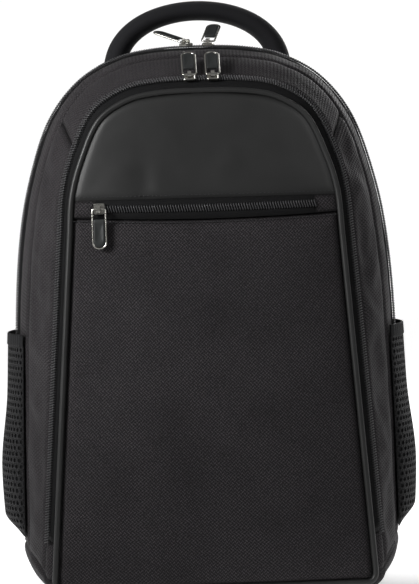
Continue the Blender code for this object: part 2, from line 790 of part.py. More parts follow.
def make_yoke(top):
    """Padded yoke across the top of the back, which carries both straps."""
    centres = []
    widths = []
    for height in spread(top, top - YOKE_HEIGHT, 5):
        room = read_rows(YOKE_SHAPE, "drop", "width", (top - height) / YOKE_HEIGHT)
        centres.append(Vector((0.0, back_face(height) + SEAM_GAP + YOKE_THICKNESS / 2, height)))
        widths.append(YOKE_WIDTH * room)
    ribbon("strap_yoke", centres, Vector((1.0, 0.0, 0.0)), widths, YOKE_THICKNESS, "padding")


def make_strap(side, label, top):
    """Padded shoulder strap, its adjuster, webbing and lower tab, on one side."""
    across = Vector((1.0, 0.0, 0.0))
    centres = []
    widths = []
    for row in STRAP_ROWS:
        height = top - SEAM_GAP - row.drop * STRAP_LENGTH
        depth = back_face(height) + SEAM_GAP + STRAP_THICKNESS / 2 + row.bow * STRAP_BOW
        centres.append(Vector((side * mix(STRAP_TOP_SPREAD, STRAP_END_SPREAD, row.spread), depth, height)))
        widths.append(STRAP_WIDTH * row.width)
    ribbon("shoulder_strap_" + label, centres, across, widths, STRAP_THICKNESS, "padding")

    end = centres[-1]
    foot_height = ANCHOR_TAB_RISE + ANCHOR_TAB_HEIGHT
    seat = back_face(foot_height) + SEAM_GAP + WEBBING_THICKNESS
    foot = Vector((side * ANCHOR_TAB_SPREAD, seat, foot_height + SEAM_GAP))
    down = end - centres[-2]
    down.x = 0.0
    down.normalize()
    centre = end + down * (SEAM_GAP + ADJUSTER_HEIGHT / 2)
    make_adjuster("strap_adjuster_" + label, centre, down, down.cross(across))
    start = centre + down * (SEAM_GAP * 2 + ADJUSTER_HEIGHT / 2)
    ribbon("strap_webbing_" + label, [start.lerp(foot, part) for part in spread(0.0, 1.0, 3)], across,
           [WEBBING_WIDTH] * 3, WEBBING_THICKNESS, "webbing")
    tab = []
    for height in spread(foot_height, ANCHOR_TAB_RISE, 3):
        tab.append(Vector((side * ANCHOR_TAB_SPREAD, back_face(height) + SEAM_GAP + WEBBING_THICKNESS, height)))
    ribbon("strap_anchor_" + label, tab, across, [ANCHOR_TAB_WIDTH * part for part in (0.80, 0.95, 1.0)],
           WEBBING_THICKNESS * 2, "webbing")


def rounded_loop(left, right, low, high, low_radius, high_radius, steps=4):
    """Points round a rectangle with rounded corners."""
    corners = (
        (right - low_radius, low + low_radius, low_radius, -90),
        (right - high_radius, high - high_radius, high_radius, 0),
        (left + high_radius, high - high_radius, high_radius, 90),
        (left + low_radius, low + low_radius, low_radius, 180),
    )
    points = []
    for x, y, radius, start in corners:
        for angle in spread(start, start + 90, steps):
            turn = math.radians(angle)
            points.append(Vector((x + radius * math.cos(turn), y + radius * math.sin(turn), 0.0)))
    return points


def flat_shape(name, loops, thickness, material):
    """Plate with the outline and holes that the loops draw, centred on its own plane."""
    curve = bpy.data.curves.new(name, "CURVE")
    curve.dimensions = "2D"
    curve.fill_mode = "BOTH"
    curve.extrude = thickness / 2
    curve.render_resolution_u = 0
    for loop in loops:
        spline = curve.splines.new("POLY")
        spline.points.add(len(loop) - 1)
        for index, point in enumerate(loop):
            spline.points[index].co = (point.x, point.y, 0.0, 1.0)
        spline.use_cyclic_u = True
    return mesh_from_curve(name, curve, material)


def frame_matrix(place, across, along, out):
    """Matrix that puts a piece at a place with its own X, Y and Z along three directions."""
    turn = Matrix((across, along, out)).transposed()
    return Matrix.Translation(place) @ turn.to_4x4()


def make_adjuster(name, centre, down, out):
    """Ladder adjuster with two slots for the webbing."""
    half_width, half_height = ADJUSTER_WIDTH / 2, ADJUSTER_HEIGHT / 2
    corner = ADJUSTER_BAR * 0.75
    outline = rounded_loop(-half_width, half_width, -half_height, half_height, corner, corner)
    slot_side = half_width - ADJUSTER_BAR
    low, high = ADJUSTER_BAR / 2, half_height - ADJUSTER_BAR
    slots = [
        rounded_loop(-slot_side, slot_side, low, high, corner / 3, corner / 3, 2),
        rounded_loop(-slot_side, slot_side, -high, -low, corner / 3, corner / 3, 2),
    ]
    adjuster = flat_shape(name, [outline, *slots], ADJUSTER_THICKNESS, "plastic")
    across = down.cross(out)
    adjuster.matrix_world = frame_matrix(centre, across, down, out)


def crossbar_height():
    """Height of the pull's crossbar above the slider's seat."""
    return SLIDER_HEIGHT + SEAM_GAP + WIRE_RADIUS


def slider_mesh():
    """Slider with the bridge that the pull's crossbar runs under. Its seat is at height 0."""
    build = bmesh.new()
    bmesh.ops.create_cube(build, size=1.0)
    for vert in build.verts:
        vert.co.x *= SLIDER_WIDTH
        vert.co.y *= SLIDER_LENGTH
        vert.co.z = (vert.co.z + 0.5) * SLIDER_HEIGHT
    bmesh.ops.bevel(build, geom=build.edges[:], offset=SLIDER_EDGE, segments=1, affect="EDGES")
    mesh = bpy.data.meshes.new("slider_body")
    build.to_mesh(mesh)
    build.free()
    body = add_object("slider_body", mesh, "metal")

    half = BRIDGE_LENGTH / 2
    top = crossbar_height() + WIRE_RADIUS + WIRE_CLEARANCE
    room = WIRE_RADIUS + WIRE_CLEARANCE * 2
    seat = SLIDER_HEIGHT - SLIDER_EDGE
    outline = rounded_loop(-half, half, seat, top + BRIDGE_WALL, BRIDGE_WALL / 4, BRIDGE_WALL * 1.4)
    hole = rounded_loop(-room, room, SLIDER_HEIGHT, top, WIRE_RADIUS / 4, WIRE_RADIUS)
    arch = flat_shape("slider_bridge", [outline, hole], BRIDGE_WIDTH, "metal")
    arch.matrix_world = frame_matrix(Vector(), Vector((0.0, 1.0, 0.0)), Vector((0.0, 0.0, 1.0)),
                                     Vector((1.0, 0.0, 0.0)))
    joined = body.modifiers.new("Bridge", "BOOLEAN")
    joined.operation = "UNION"
    joined.object = arch
    bpy.context.view_layer.update()
    ready = body.evaluated_get(bpy.context.evaluated_depsgraph_get())
    mesh = bpy.data.meshes.new_from_object(ready)
    mesh.name = "slider"
    bpy.data.objects.remove(body, do_unlink=True)
    bpy.data.objects.remove(arch, do_unlink=True)
    return mesh


def make_zip_set(label, place, out, along, tilt, slider):
    """Slider, wire pull and rubber insert. The pull points along, lifted by a tilt."""
    out = out.normalized()
    across = along.cross(out).normalized()
    along = out.cross(across).normalized()
    seat = place + out * SEAM_GAP
    body = add_object("slider_" + label, slider.copy(), "metal")
    body.matrix_world = frame_matrix(seat, across, along, out)

    hinge = bpy.data.objects.new("hinge_" + label, None)
    MODEL.objects.link(hinge)
    lift = Matrix.Rotation(math.radians(tilt), 4, "X")
    hinge.matrix_world = frame_matrix(seat + out * crossbar_height(), across, along, out) @ lift

    half = PULL_WIDTH / 2 - WIRE_RADIUS
    end = PULL_LENGTH - WIRE_RADIUS
    loop = rounded_loop(-half, half, 0.0, end, PULL_NEAR_RADIUS, PULL_FAR_RADIUS)
    frame = wire("pull_frame_" + label, loop, WIRE_RADIUS, "metal", True)
    inside = WIRE_RADIUS + INSERT_GAP
    plate_loop = rounded_loop(-half + inside, half - inside, INSERT_START, end - inside,
                              PULL_NEAR_RADIUS / 2, PULL_FAR_RADIUS - inside)
    insert = flat_shape("pull_insert_" + label, [plate_loop], INSERT_THICKNESS, "rubber")
    for thing in (frame, insert):
        thing.parent = hinge


def resting_tilt(turn, share, out, back):
    """Tilt in degrees at which a pull lies back on the cloth behind its slider."""
    across = back.cross(out).normalized()
    along = out.cross(across).normalized()
    slider = skin(turn, share)
    hinge = slider + out * (SEAM_GAP + crossbar_height())
    stand = INSERT_THICKNESS / 2 + PULL_REST
    steepest = 0.0
    for reach in spread(INSERT_START, PULL_LENGTH, PULL_REST_PLACES):
        behind = share - reach / BODY_DEPTH
        for side in (-1.0, 0.0, 1.0):
            under = skin(turn_at_reach(behind, slider.x + side * PULL_WIDTH / 2), behind) - hinge
            steepest = max(steepest, math.atan2(under.dot(out) + stand, under.dot(along)))
    return math.degrees(steepest)


def make_zip_hardware():
    """The five sliders with their pulls."""
    slider = slider_mesh()
    zip_share = front_zip_share(FRONT_SLIDER_PLACE)
    for side, label in ((-1, "front_left"), (1, "front_right")):
        turn = turn_at_reach(zip_share, side * FRONT_SLIDER_X)
        out = -inward_at(turn, zip_share)
        back = skin(turn, zip_share - 0.05) - skin(turn, zip_share)
        tilt = resting_tilt(turn, zip_share, out, back)
        make_zip_set(label, skin(turn, zip_share), out, back, tilt, slider)
    share = MAIN_ZIP_DEPTH / BODY_DEPTH
    for pull in MAIN_PULLS:
        turn = turn_at_reach(share, pull.reach)
        heading = math.radians(pull.heading)
        aim = Vector((math.cos(heading), math.sin(heading), 0.0))
        make_zip_set(pull.label, skin(turn, share), -inward_at(turn, share), aim, pull.tilt, slider)

    height = POCKET_ZIP_TOP - POCKET_ZIP_HEIGHT / 2
    half_width = half_width_at(height, 0.0)
    across = POCKET_SLIDER_X / half_width
    place = face_point(across, height, half_width)
    down = face_point(across, height - POCKET_ZIP_HEIGHT, half_width) - place
    right = face_point(across + 0.05, height, half_width) - place
    make_zip_set("pocket", place, right.cross(-down), down, POCKET_PULL_TILT, slider)


def stand_on_origin():
    """Move the whole model so that the middle of its base box is the origin."""
    bpy.context.view_layer.update()
    graph = bpy.context.evaluated_depsgraph_get()
    corners = []
    for thing in MODEL.objects:
        if thing.type == "MESH":
            ready = thing.evaluated_get(graph)
            corners += [ready.matrix_world @ vert.co for vert in ready.data.vertices]
    low = Vector([min(corner[axis] for corner in corners) for axis in range(3)])
    high = Vector([max(corner[axis] for corner in corners) for axis in range(3)])
    shift = Vector(((low.x + high.x) / 2, (low.y + high.y) / 2, low.z))
    for thing in MODEL.objects:
        if thing.parent is None:
            thing.matrix_world = Matrix.Translation(-shift) @ thing.matrix_world


clear_scene()
MODEL = bpy.data.collections.new("laptop_backpack")
bpy.context.scene.collection.children.link(MODEL)
MATERIALS = make_materials()
make_gussets()
make_bottom_panel()
make_back_and_divider()
make_front_face()
make_side_pocket(-1, "left")
make_side_pocket(1, "right")
make_handle()
yoke_top = BODY_HEIGHT * SECTIONS[0].height - YOKE_DROP
make_yoke(yoke_top)
make_strap(-1, "left", yoke_top - YOKE_HEIGHT)
make_strap(1, "right", yoke_top - YOKE_HEIGHT)
make_zip_hardware()
stand_on_origin()
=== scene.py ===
import math
from collections import namedtuple
from functools import lru_cache

import bpy
import numpy as np
from mathutils import Matrix, Vector, noise


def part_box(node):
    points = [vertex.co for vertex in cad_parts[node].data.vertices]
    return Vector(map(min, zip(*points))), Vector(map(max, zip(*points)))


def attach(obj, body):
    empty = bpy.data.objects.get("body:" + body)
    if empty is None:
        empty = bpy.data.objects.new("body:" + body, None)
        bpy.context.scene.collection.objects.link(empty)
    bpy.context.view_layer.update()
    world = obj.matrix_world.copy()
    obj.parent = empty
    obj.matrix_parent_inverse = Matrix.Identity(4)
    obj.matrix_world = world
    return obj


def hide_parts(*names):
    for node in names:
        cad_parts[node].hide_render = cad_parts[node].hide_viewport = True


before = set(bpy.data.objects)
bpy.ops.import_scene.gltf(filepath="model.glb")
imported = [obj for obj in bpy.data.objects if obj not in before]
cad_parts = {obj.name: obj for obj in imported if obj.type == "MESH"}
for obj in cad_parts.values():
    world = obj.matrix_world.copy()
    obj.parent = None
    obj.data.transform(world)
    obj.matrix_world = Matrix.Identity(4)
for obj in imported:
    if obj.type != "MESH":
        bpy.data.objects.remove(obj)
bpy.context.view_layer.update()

# Bag body, as in the part
BODY_WIDTH = 0.320
BODY_HEIGHT = 0.448
BODY_DEPTH = 0.168
HEAD_DEPTH = 0.146
PANEL_WIDTH = 0.278
PANEL_HEIGHT = 0.417
CORNER_RADIUS = 0.036
BASE_LIFT = 0.005
CROWN = 0.015
CROWN_SIDE_POWER = 2.6
SEAM_GAP = 0.0003
PANEL_CLOTH = 0.0022
BACK_PADDING = 0.008
BACK_ROUNDING = 0.005
PIPING_RADIUS = 0.0016
PIPING_SINK = 0.0006
SEAM_SHARE = 0.64

# Zips, pockets, handle and straps, as in the part
MAIN_ZIP_DEPTH = 0.064
MAIN_ZIP_WIDTH = 0.016
MAIN_ZIP_END_HEIGHT = 0.150
FRONT_ZIP_WIDTH = 0.017
FRONT_ZIP_END_HEIGHT = 0.048
SHOULDER_REACH = 0.118
POCKET_ZIP_TOP = 0.323
POCKET_ZIP_HEIGHT = 0.014
POCKET_ZIP_SAG = 0.003
POCKET_TAB_LENGTH = 0.018
SIDE_POCKET_TOP = 0.211
SIDE_POCKET_BOTTOM = 0.043
SIDE_POCKET_INSET = 0.006
SIDE_POCKET_BULGE = 0.0128
SIDE_POCKET_SEAT = 0.0009
POCKET_SIDE_POWER = 0.55
BAND_HEIGHT = 0.010
BAND_THICKNESS = 0.0016
HANDLE_SPAN = 0.141
HANDLE_RISE = 0.0366
HANDLE_THICKNESS = 0.0166
HANDLE_DEPTH = 0.024
HANDLE_BACK_OFFSET = 0.016
HANDLE_FOOT_SWELL = 1.18
ANCHOR_LENGTH = 0.030
ANCHOR_DEPTH = 0.026
ANCHOR_CLOTH = 0.0022
YOKE_WIDTH = 0.176
YOKE_HEIGHT = 0.036
YOKE_THICKNESS = 0.006
YOKE_DROP = 0.010
STRAP_WIDTH = 0.064
STRAP_THICKNESS = 0.011
STRAP_LENGTH = 0.262
STRAP_TOP_SPREAD = 0.050
STRAP_END_SPREAD = 0.096
STRAP_BOW = 0.030
ADJUSTER_HEIGHT = 0.026
WEBBING_WIDTH = 0.025
WEBBING_THICKNESS = 0.0018
ANCHOR_TAB_HEIGHT = 0.030
ANCHOR_TAB_WIDTH = 0.034
ANCHOR_TAB_SPREAD = 0.112
ANCHOR_TAB_RISE = 0.016

# Sliders and pulls, as in the part
WIRE_RADIUS = 0.0008
PULL_LENGTH = 0.0330
PULL_WIDTH = 0.0126
PULL_NEAR_RADIUS = 0.0022
PULL_FAR_RADIUS = 0.0050
INSERT_START = 0.0085
INSERT_THICKNESS = 0.0024
INSERT_GAP = 0.0002

# Softness of the cloth: grooves at the seams and broad creases
SEAM_GROOVE = 0.0028
SEAM_REACH = 0.0030
PUFF_REACH = 0.014
# How far from a seam the painted shade in its groove reaches
PAINTED_SHADE_REACH = 0.0019
PUCKER_SIZE = 0.009
PUCKER_REACH = 0.008
PUCKER_HEIGHT = 0.0005
CLOTH_STEP = 0.0026
DENT_PLACE = (-0.049, 0.337)
DENT_SIZE = (0.008, 0.018)
DENT_DEPTH = 0.0010

# Stitches and zip teeth
STITCH_PITCH = 0.0034
STITCH_LENGTH = 0.0024
STITCH_RADIUS = 0.00028
STITCH_INSET = 0.0026
TOOTH_PITCH = 0.0021
TOOTH_REACH = 0.0027
TOOTH_HEIGHT = 0.0015
TOOTH_RADIUS = 0.00048
FRONT_TEETH_TURNS = (0.0, 0.10, 0.35, 1.0)
FRONT_TEETH_PLACES = (0.38, 0.38, 0.53, 0.53)

# Net of the side pockets
NET_PITCH = 0.0056
NET_HOLE = 0.33
NET_THICKNESS = 0.0006
HOLE_SIDES = 12

# Simulation of the padding: the foam presses the cloth outward between its seams
VOXEL = 0.004
PRESSURE = 4.0
PUFF_FRAMES = 20
PUFF_LIMIT = 0.0016
HELD_SLOPE = 0.35

# Where the cloth stands out further than the solids, and how thin a strap is before it is pressed
PIPING_SWELL = 1.5
HANDLE_STRETCH = 0.0028
STRAP_START = 0.86

# Folds of the sheets: height, size and the distance from a seam where they start. A group of three is
# size, height and seed
GUSSET_FOLD = 0.0018
TOP_FOLD = 0.0020
SIDE_FOLD = 0.0042
SIDE_FOLD_SIZE = 0.036
TAPE_FOLD = 0.0002
TAB_FOLD = 0.0003
FOLD_SIZE = 0.05
FOLD_START = 0.012
FACE_FOLD_START = 0.02
UPPER_FOLD = (0.06, 0.0013, 2.2)
LOWER_FOLDS = ((0.085, 0.0022, 4.4), (0.03, 0.0008, 8.1))
LOWER_PUCKER_SEED = 6.6
PUCKER_SEED_STEP = 2.0

# Grooves: two shallow ones, the share of a groove in its soft shoulder, and the height over which the
# base's grooves fade in above the floor
UPPER_GROOVE = 0.0008
TAPE_GROOVE = 0.0009
SHOULDER_SHARE = 0.5
BASE_FADE = 0.004

# How much wider than flat a sheet is taken for the number of its columns
WIDTH_SPARE = 1.2

# Fine folds over broad ones: how many times closer together, and what share of their height
FINE_FOLDS = (2.3, 0.45)

# Materials: uneven threads and wear, as their closeness, their strength and their start, and the relief
THREAD_GRAIN = 1.7
THREAD_GRAIN_SHADE = (1.6, -0.2)
THREAD_WEAR = 22.0
THREAD_WEAR_SHADE = (0.8, 0.6)
THREAD_SHINE = 0.18
THREAD_RELIEF = 0.7
SHEEN_ROUGHNESS = 0.45
GRAIN_WEAR = 1 / 40
GRAIN_WEAR_DETAIL = 4.0
GRAIN_RELIEF = 0.5
WEAR_ROUGHNESS = 0.18
COAT_ROUGHNESS = 0.4
# Painted shade in the seams' grooves: the share of the colour that is left at a seam
PAINTED_GROOVE_SHADE = (0.15, 0.15, 0.15)

# Shapes of a stitch, as shares of its half length and radius, and of a tooth, of its reach, lean and height
STITCH_ROUTE = ((-1.0, -1.6), (-0.55, 0.7), (0.55, 0.7), (1.0, -1.6))
TOOTH_ROUTE = ((-1.0, -1.0, 0.0), (-0.7, -1.0, 1.0), (0.0, 0.0, 0.3), (0.7, 1.0, 1.0), (1.0, 1.0, 0.0))
TOOTH_LEAN = 0.28
STITCH_SINK = 0.95

# A direction that no step of a small bar takes
NO_BAR_DIRECTION = (0.0, 0.31, 0.95)

# Where rows of teeth and stitches lie above or below the cloth, and across the pocket's zip
FRONT_TEETH_RISE = 0.0002
MAIN_TEETH_RISE = -0.0004
POCKET_TEETH_RISE = -0.0003
POCKET_TEETH_PLACE = 0.52
POCKET_STITCH_REACH = 0.985
POCKET_STITCH_RISE = -0.0008

# Net, the dark sheet behind it that stands in for the shade inside the pocket, and band of the side pockets
NET_ROW_SPREAD = 1.12
NARROWEST_CELL = 0.2
SHADE_SHEET_SINK = 1.2
BAND_TOP_SHAPE = 1.25
BAND_SIDE_SHAPE = 1.6
BAND_RIB = 0.00025
BAND_RIBS = 120.0

# Grab handle: its end angle as a share of a half turn, the power of its arch, and its tabs
HANDLE_END = 0.035
HANDLE_ARCH = 0.8
HANDLE_TAB_REACH = 0.0012
HANDLE_TAB_SINK = 0.0004
HANDLE_TAB_START = 0.002

# Section of a pull's rubber insert, as shares of its outline and of its half thickness
INSERT_SECTION = ((0.02, 0.72), (0.55, 0.76), (0.66, 0.95), (0.88, 1.0), (0.96, 0.85), (1.0, 0.5))

# Back panel with its air channels, padded bands and their stitches
BACK_START = 0.02
BACK_RISE = 1.1
CHANNEL_DEPTH = 0.0026
CHANNEL_SPREAD = 0.032
CHANNEL_SIZE = 0.005
CROSS_CHANNEL_HEIGHT = 0.20
CROSS_CHANNEL_DEPTH = 0.8
YOKE_FILL = 0.4
STRAP_FILL = 0.6
BAND_SIDES = 36
BAND_WIDE_POWER = 0.5
BAND_THICK_POWER = 5 / 6
STRAP_STITCH_INSET = 1.5
TAB_WIDTHS = (1.0, 0.95, 0.80)
TAB_STITCH_PLACES = (0.16, 0.84)
TAB_STITCH_REACH = 0.357

# Numbers of steps and points: on measured lines, then along and across each sheet
TABLE_STEPS = 260
CORNER_STEPS = 26
SHARE_STEPS = 168
TURN_SAMPLES = 600
POCKET_SAMPLES = 500
OUTLINE_POINTS = (400, 40)
LINE_POINTS = 300
SEAM_POINTS = 400
COIL_POINTS = 900
MIDDLE_POINTS = 200
BASE_POINTS = (26, 50, 60)
UPPER_POINTS = (70, 110)
LOWER_POINTS = (110, 120)
TAPE_POINTS = (90, 12)
TAB_COLUMNS = 14
PIPING_POINTS = (300, 20, 60)
SHADE_SHEET_POINTS = (60, 70)
BAND_POINTS = (80, 17)
HANDLE_POINTS = (90, 40)
HANDLE_TAB_POINTS = (24, 20)
WIRE_POINTS = 120
BACK_POINTS = (140, 16, 110)
YOKE_POINTS = 24
STRAP_POINTS = 90
WEBBING_POINTS = 30
STRAP_TAB_POINTS = 20
STITCH_POINTS = 12


def table(columns, *rows):
    """Rows of a table with named columns."""
    row_kind = namedtuple("Row", columns)
    return [row_kind(*row) for row in rows]


# Outlines of the body and of the front panel, as in the part
BODY_OUTLINE = table(
    "width height",
    (0.000, 1.000), (0.240, 0.996), (0.440, 0.980), (0.640, 0.938), (0.800, 0.864),
    (0.905, 0.755), (0.965, 0.645), (0.996, 0.500), (1.000, 0.300), (1.000, 0.000),
)
PANEL_OUTLINE = table(
    "width height",
    (0.000, 1.000), (0.275, 0.997), (0.470, 0.983), (0.645, 0.944), (0.757, 0.868),
    (0.822, 0.795), (0.846, 0.700), (0.890, 0.500), (0.950, 0.230), (1.000, 0.000),
)

# Shares of sizes along a length from 0 to 1, as in the part. The pockets' feet are fuller than there
SECTIONS = table(
    "share panel width height corner lift",
    (0.00, 0.00, 0.965, 0.982, 0.80, 0.00),
    (0.12, 0.00, 0.992, 0.996, 0.95, 0.00),
    (0.28, 0.00, 1.000, 1.000, 1.00, 0.00),
    (0.64, 0.26, 1.000, 1.000, 0.85, 0.00),
    (0.92, 0.88, 1.000, 1.000, 0.40, 0.00),
    (1.00, 1.00, 0.952, 0.984, 0.22, 1.00),
)
CROWN_ROWS = table(
    "height crown",
    (0.00, 0.10), (0.10, 0.75), (0.28, 1.00), (0.55, 0.85), (0.78, 0.60), (0.93, 0.28), (1.00, 0.00),
)
POCKET_ROWS = table("drop bulge", (0.00, 0.46), (0.30, 0.62), (0.68, 1.10), (0.90, 0.98), (1.00, 0.00))
YOKE_ROWS = table("drop width", (0.00, 0.72), (0.25, 0.90), (0.60, 1.00), (1.00, 1.00))
STRAP_ROWS = table(
    "drop bow spread width",
    (0.00, 0.00, 0.00, 0.92),
    (0.10, 0.34, 0.00, 0.96),
    (0.24, 0.76, 0.06, 1.00),
    (0.42, 1.00, 0.26, 1.00),
    (0.60, 0.96, 0.52, 0.98),
    (0.78, 0.72, 0.78, 0.90),
    (0.92, 0.44, 0.94, 0.74),
    (1.00, 0.30, 1.00, 0.58),
)

# Studio: the room's light, the bright backdrop behind the bag and where it fades, and the floor
ROOM_LIGHT = 0.14
BACKDROP_LIGHT = 1.05
BACKDROP_EDGE = (0.86, 0.95)
PALE = (0.85, 0.85, 0.85)
WHITE = (1.0, 1.0, 1.0, 1.0)
FLOOR_GLOW = 0.85
FLOOR_DIM = 0.10
FLOOR_FADE = (-0.20, 0.05)
FLOOR_SIZE = 5.0
FLOOR_DEPTH = 1.0
FLOOR_DROP = 0.0004
FLOOR_ROUGHNESS = 0.9
LAMPS = table(
    "name place aim_height size power spread",
    ("key", (-1.20, -0.80, 0.90), 0.42, 0.5, 2.2, 50.0),
    ("fill", (1.1, -1.3, 1.2), 0.42, 0.9, 0.60, 60.0),
    ("top", (-0.3, 0.5, 1.9), 0.24, 1.0, 0.3, 180.0),
    ("rear", (0.9, 1.7, 1.0), 0.20, 1.0, 14.0, 180.0),
)

# Camera: where the photographer stood, in degrees and metres
CAMERA_AZIMUTH = -1.4
CAMERA_ELEVATION = 3.0
CAMERA_ROLL = -1.6
CAMERA_DISTANCE = 3.0
CAMERA_LENS = 220.0
CAMERA_SENSOR = 36.0
CAMERA_TARGET = Vector((0.0038, 0.0, 0.241))

# Depth shares between the strips that run round the bag
ZIP_REAR = (MAIN_ZIP_DEPTH - MAIN_ZIP_WIDTH / 2) / BODY_DEPTH
ZIP_FRONT = (MAIN_ZIP_DEPTH + MAIN_ZIP_WIDTH / 2) / BODY_DEPTH
FRONT_ZIP_SHARE = 1.0 - FRONT_ZIP_WIDTH / BODY_DEPTH
PIPING_SHARE = 1.0 - PIPING_RADIUS / BODY_DEPTH

SIDES = ((-1, "left"), (1, "right"))
FACE_INSET = PIPING_RADIUS + PIPING_SINK + SEAM_GAP
DEPTH_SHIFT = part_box("back_panel")[0].y - (BODY_DEPTH + SEAM_GAP) / 2


def mix(first, second, share):
    """Value between two values."""
    return first + (second - first) * share


def ease_through(places, values, place):
    """Smooth value at a place that never swings past the values beside it."""
    last = len(places) - 2
    index = 0
    while index < last and place > places[index + 1]:
        index += 1
    steps = [(values[i + 1] - values[i]) / (places[i + 1] - places[i]) for i in range(len(places) - 1)]

    def slope(knot):
        if knot == 0 or knot == len(places) - 1:
            return steps[min(knot, len(steps) - 1)]
        before, after = steps[knot - 1], steps[knot]
        if before * after <= 0.0:
            return 0.0
        return 2.0 * before * after / (before + after)

    width = places[index + 1] - places[index]
    share = (place - places[index]) / width
    start = values[index] * (1 + 2 * share) * (1 - share) ** 2
    start += slope(index) * width * share * (1 - share) ** 2
    finish = values[index + 1] * share ** 2 * (3 - 2 * share)
    finish -= slope(index + 1) * width * share ** 2 * (1 - share)
    return start + finish


def read_rows(rows, column, place):
    """Smooth value of one column of a table at a place along its first column."""
    return ease_through([row[0] for row in rows], [getattr(row, column) for row in rows], place)


def read_many(rows, column, places):
    """Smooth values of one column of a table at many places."""
    samples = np.linspace(0.0, 1.0, TABLE_STEPS)
    return np.interp(places, samples, [read_rows(rows, column, place) for place in samples])


def smooth_curve(points, steps=12):
    """Points on a smooth curve through points, with a level start."""
    before = Vector((-points[1].x, points[1].y))
    after = points[-1] * 2 - points[-2]
    knots = [before, *points, after]
    curve = []
    for index in range(1, len(knots) - 2):
        a, b, c, d = knots[index - 1:index + 3]
        for step in range(steps):
            t = step / steps
            bend = (a * 2 - b * 5 + c * 4 - d) * t ** 2 + (b * 3 - a - c * 3 + d) * t ** 3
            curve.append((b * 2 + (c - a) * t + bend) * 0.5)
    curve.append(points[-1])
    return curve


def unit(vectors):
    """Vectors with their lengths brought to one."""
    return vectors / np.linalg.norm(vectors, axis=-1, keepdims=True)


def running(points):
    """Running length at each point of a polyline."""
    return np.concatenate([[0.0], np.cumsum(np.linalg.norm(np.diff(points, axis=0), axis=1))])


def evenly(points, count):
    """Evenly spaced points along a polyline."""
    points = np.array([tuple(point) for point in points])
    return spread_along(points, points, count)


def spread_along(points, values, count):
    """Values kept at the points of a polyline, read at evenly spaced places along it."""
    lengths = running(points)
    places = np.linspace(0.0, lengths[-1], count)
    return np.stack([np.interp(places, lengths, column) for column in values.T], axis=1)


def joined(*spans):
    """Values through spans of start, end and count, given once where two spans meet."""
    parts = [np.linspace(*span) for span in spans]
    return np.concatenate([parts[0]] + [part[1:] for part in parts[1:]])


def grid(rows, columns):
    """Grids of the row values and the column values."""
    return np.meshgrid(rows, columns, indexing="ij")


def half_section(share):
    """Points of the right half of a section: top and side, lower corner, base, at the table's turns."""
    sizes = [read_rows(SECTIONS, column, share) for column in SECTIONS[0]._fields]
    panel, width, height, corner, lift = sizes[1:]
    half_width = mix(BODY_WIDTH, PANEL_WIDTH, panel) / 2 * width
    height *= mix(BODY_HEIGHT, PANEL_HEIGHT, panel)
    radius = CORNER_RADIUS * corner
    lift *= BASE_LIFT
    rows = []
    for body, front in zip(BODY_OUTLINE, PANEL_OUTLINE):
        wide, tall = (mix(first, second, panel) for first, second in zip(body, front))
        rows.append(Vector((wide * half_width, tall * height)))
    corner_height = lift + radius
    side = [point for point in smooth_curve(rows) if point.y > corner_height]
    foot = side[-1]
    side.append(Vector((foot.x, corner_height)))
    corner = [
        Vector((foot.x - radius + radius * math.cos(angle), corner_height - radius * math.sin(angle)))
        for angle in np.linspace(0.0, math.pi / 2, CORNER_STEPS)
    ]
    base = [corner[-1], Vector((0.0, lift))]
    return np.concatenate([
        evenly(side, TABLE_STEPS + 1),
        evenly(corner, CORNER_STEPS + 1)[1:],
        evenly(base, CORNER_STEPS + 1)[1:],
    ])


def depth_at(share, height):
    """World Y of the skin at depth shares and heights."""
    foot = BODY_DEPTH / 2 - share * BODY_DEPTH
    head = BODY_DEPTH / 2 - share * HEAD_DEPTH
    return mix(foot, head, height / BODY_HEIGHT) + DEPTH_SHIFT


def make_skin_table():
    """Turns, shares, and the skin's points and outward directions at each pair of them."""
    half = joined((0, 1, TABLE_STEPS + 1), (1, 2, CORNER_STEPS + 1), (2, 3, CORNER_STEPS + 1))
    turns = np.concatenate([-half[:0:-1], half])
    shares = np.linspace(0.0, 1.0, SHARE_STEPS + 1)
    points = np.zeros((len(turns), len(shares), 3))
    for column, share in enumerate(shares):
        right = half_section(share)
        flat = np.concatenate([right[:0:-1] * [-1, 1], right])
        points[:, column, 0] = flat[:, 0]
        points[:, column, 1] = depth_at(share, flat[:, 1])
        points[:, column, 2] = flat[:, 1]
    outward = np.cross(np.gradient(points, axis=1), np.gradient(points, axis=0))
    return turns, shares, points, unit(outward)


TURNS, SHARES, SKIN_POINTS, SKIN_OUTWARD = make_skin_table()


def read_skin(field, turn, share):
    """Values of a field of the skin table at turns and shares."""
    row = np.interp(turn, TURNS, np.arange(len(TURNS)))
    column = np.interp(share, SHARES, np.arange(len(SHARES)))
    row_low = np.minimum(row.astype(int), len(TURNS) - 2)
    column_low = np.minimum(column.astype(int), len(SHARES) - 2)
    row_part = (row - row_low)[..., None]
    column_part = (column - column_low)[..., None]
    first = mix(field[row_low, column_low], field[row_low + 1, column_low], row_part)
    second = mix(field[row_low, column_low + 1], field[row_low + 1, column_low + 1], row_part)
    return mix(first, second, column_part)


def skin_at(turn, share, outward=0.0):
    """Points on the skin at turns and shares, moved outward."""
    turn, share = np.broadcast_arrays(np.asarray(turn, float), np.asarray(share, float))
    place = read_skin(SKIN_POINTS, turn, share)
    return place + read_skin(SKIN_OUTWARD, turn, share) * np.asarray(outward, float)[..., None]


def outward_at(turn, share):
    """Outward unit directions of the skin at turns and shares."""
    turn, share = np.broadcast_arrays(np.asarray(turn, float), np.asarray(share, float))
    return unit(read_skin(SKIN_OUTWARD, turn, share))


def turn_where(axis, share, wanted, low=0.0, high=1.0):
    """Turn between two turns at which a coordinate of the skin has a value."""
    turns = np.linspace(low, high, TURN_SAMPLES)
    values = skin_at(turns, share)[:, axis]
    order = np.argsort(values)
    return float(np.interp(wanted, values[order], turns[order]))


def turn_at_height(share, height):
    """Turn between the top centre and the lower corner at which the skin has a height."""
    return turn_where(2, share, height)


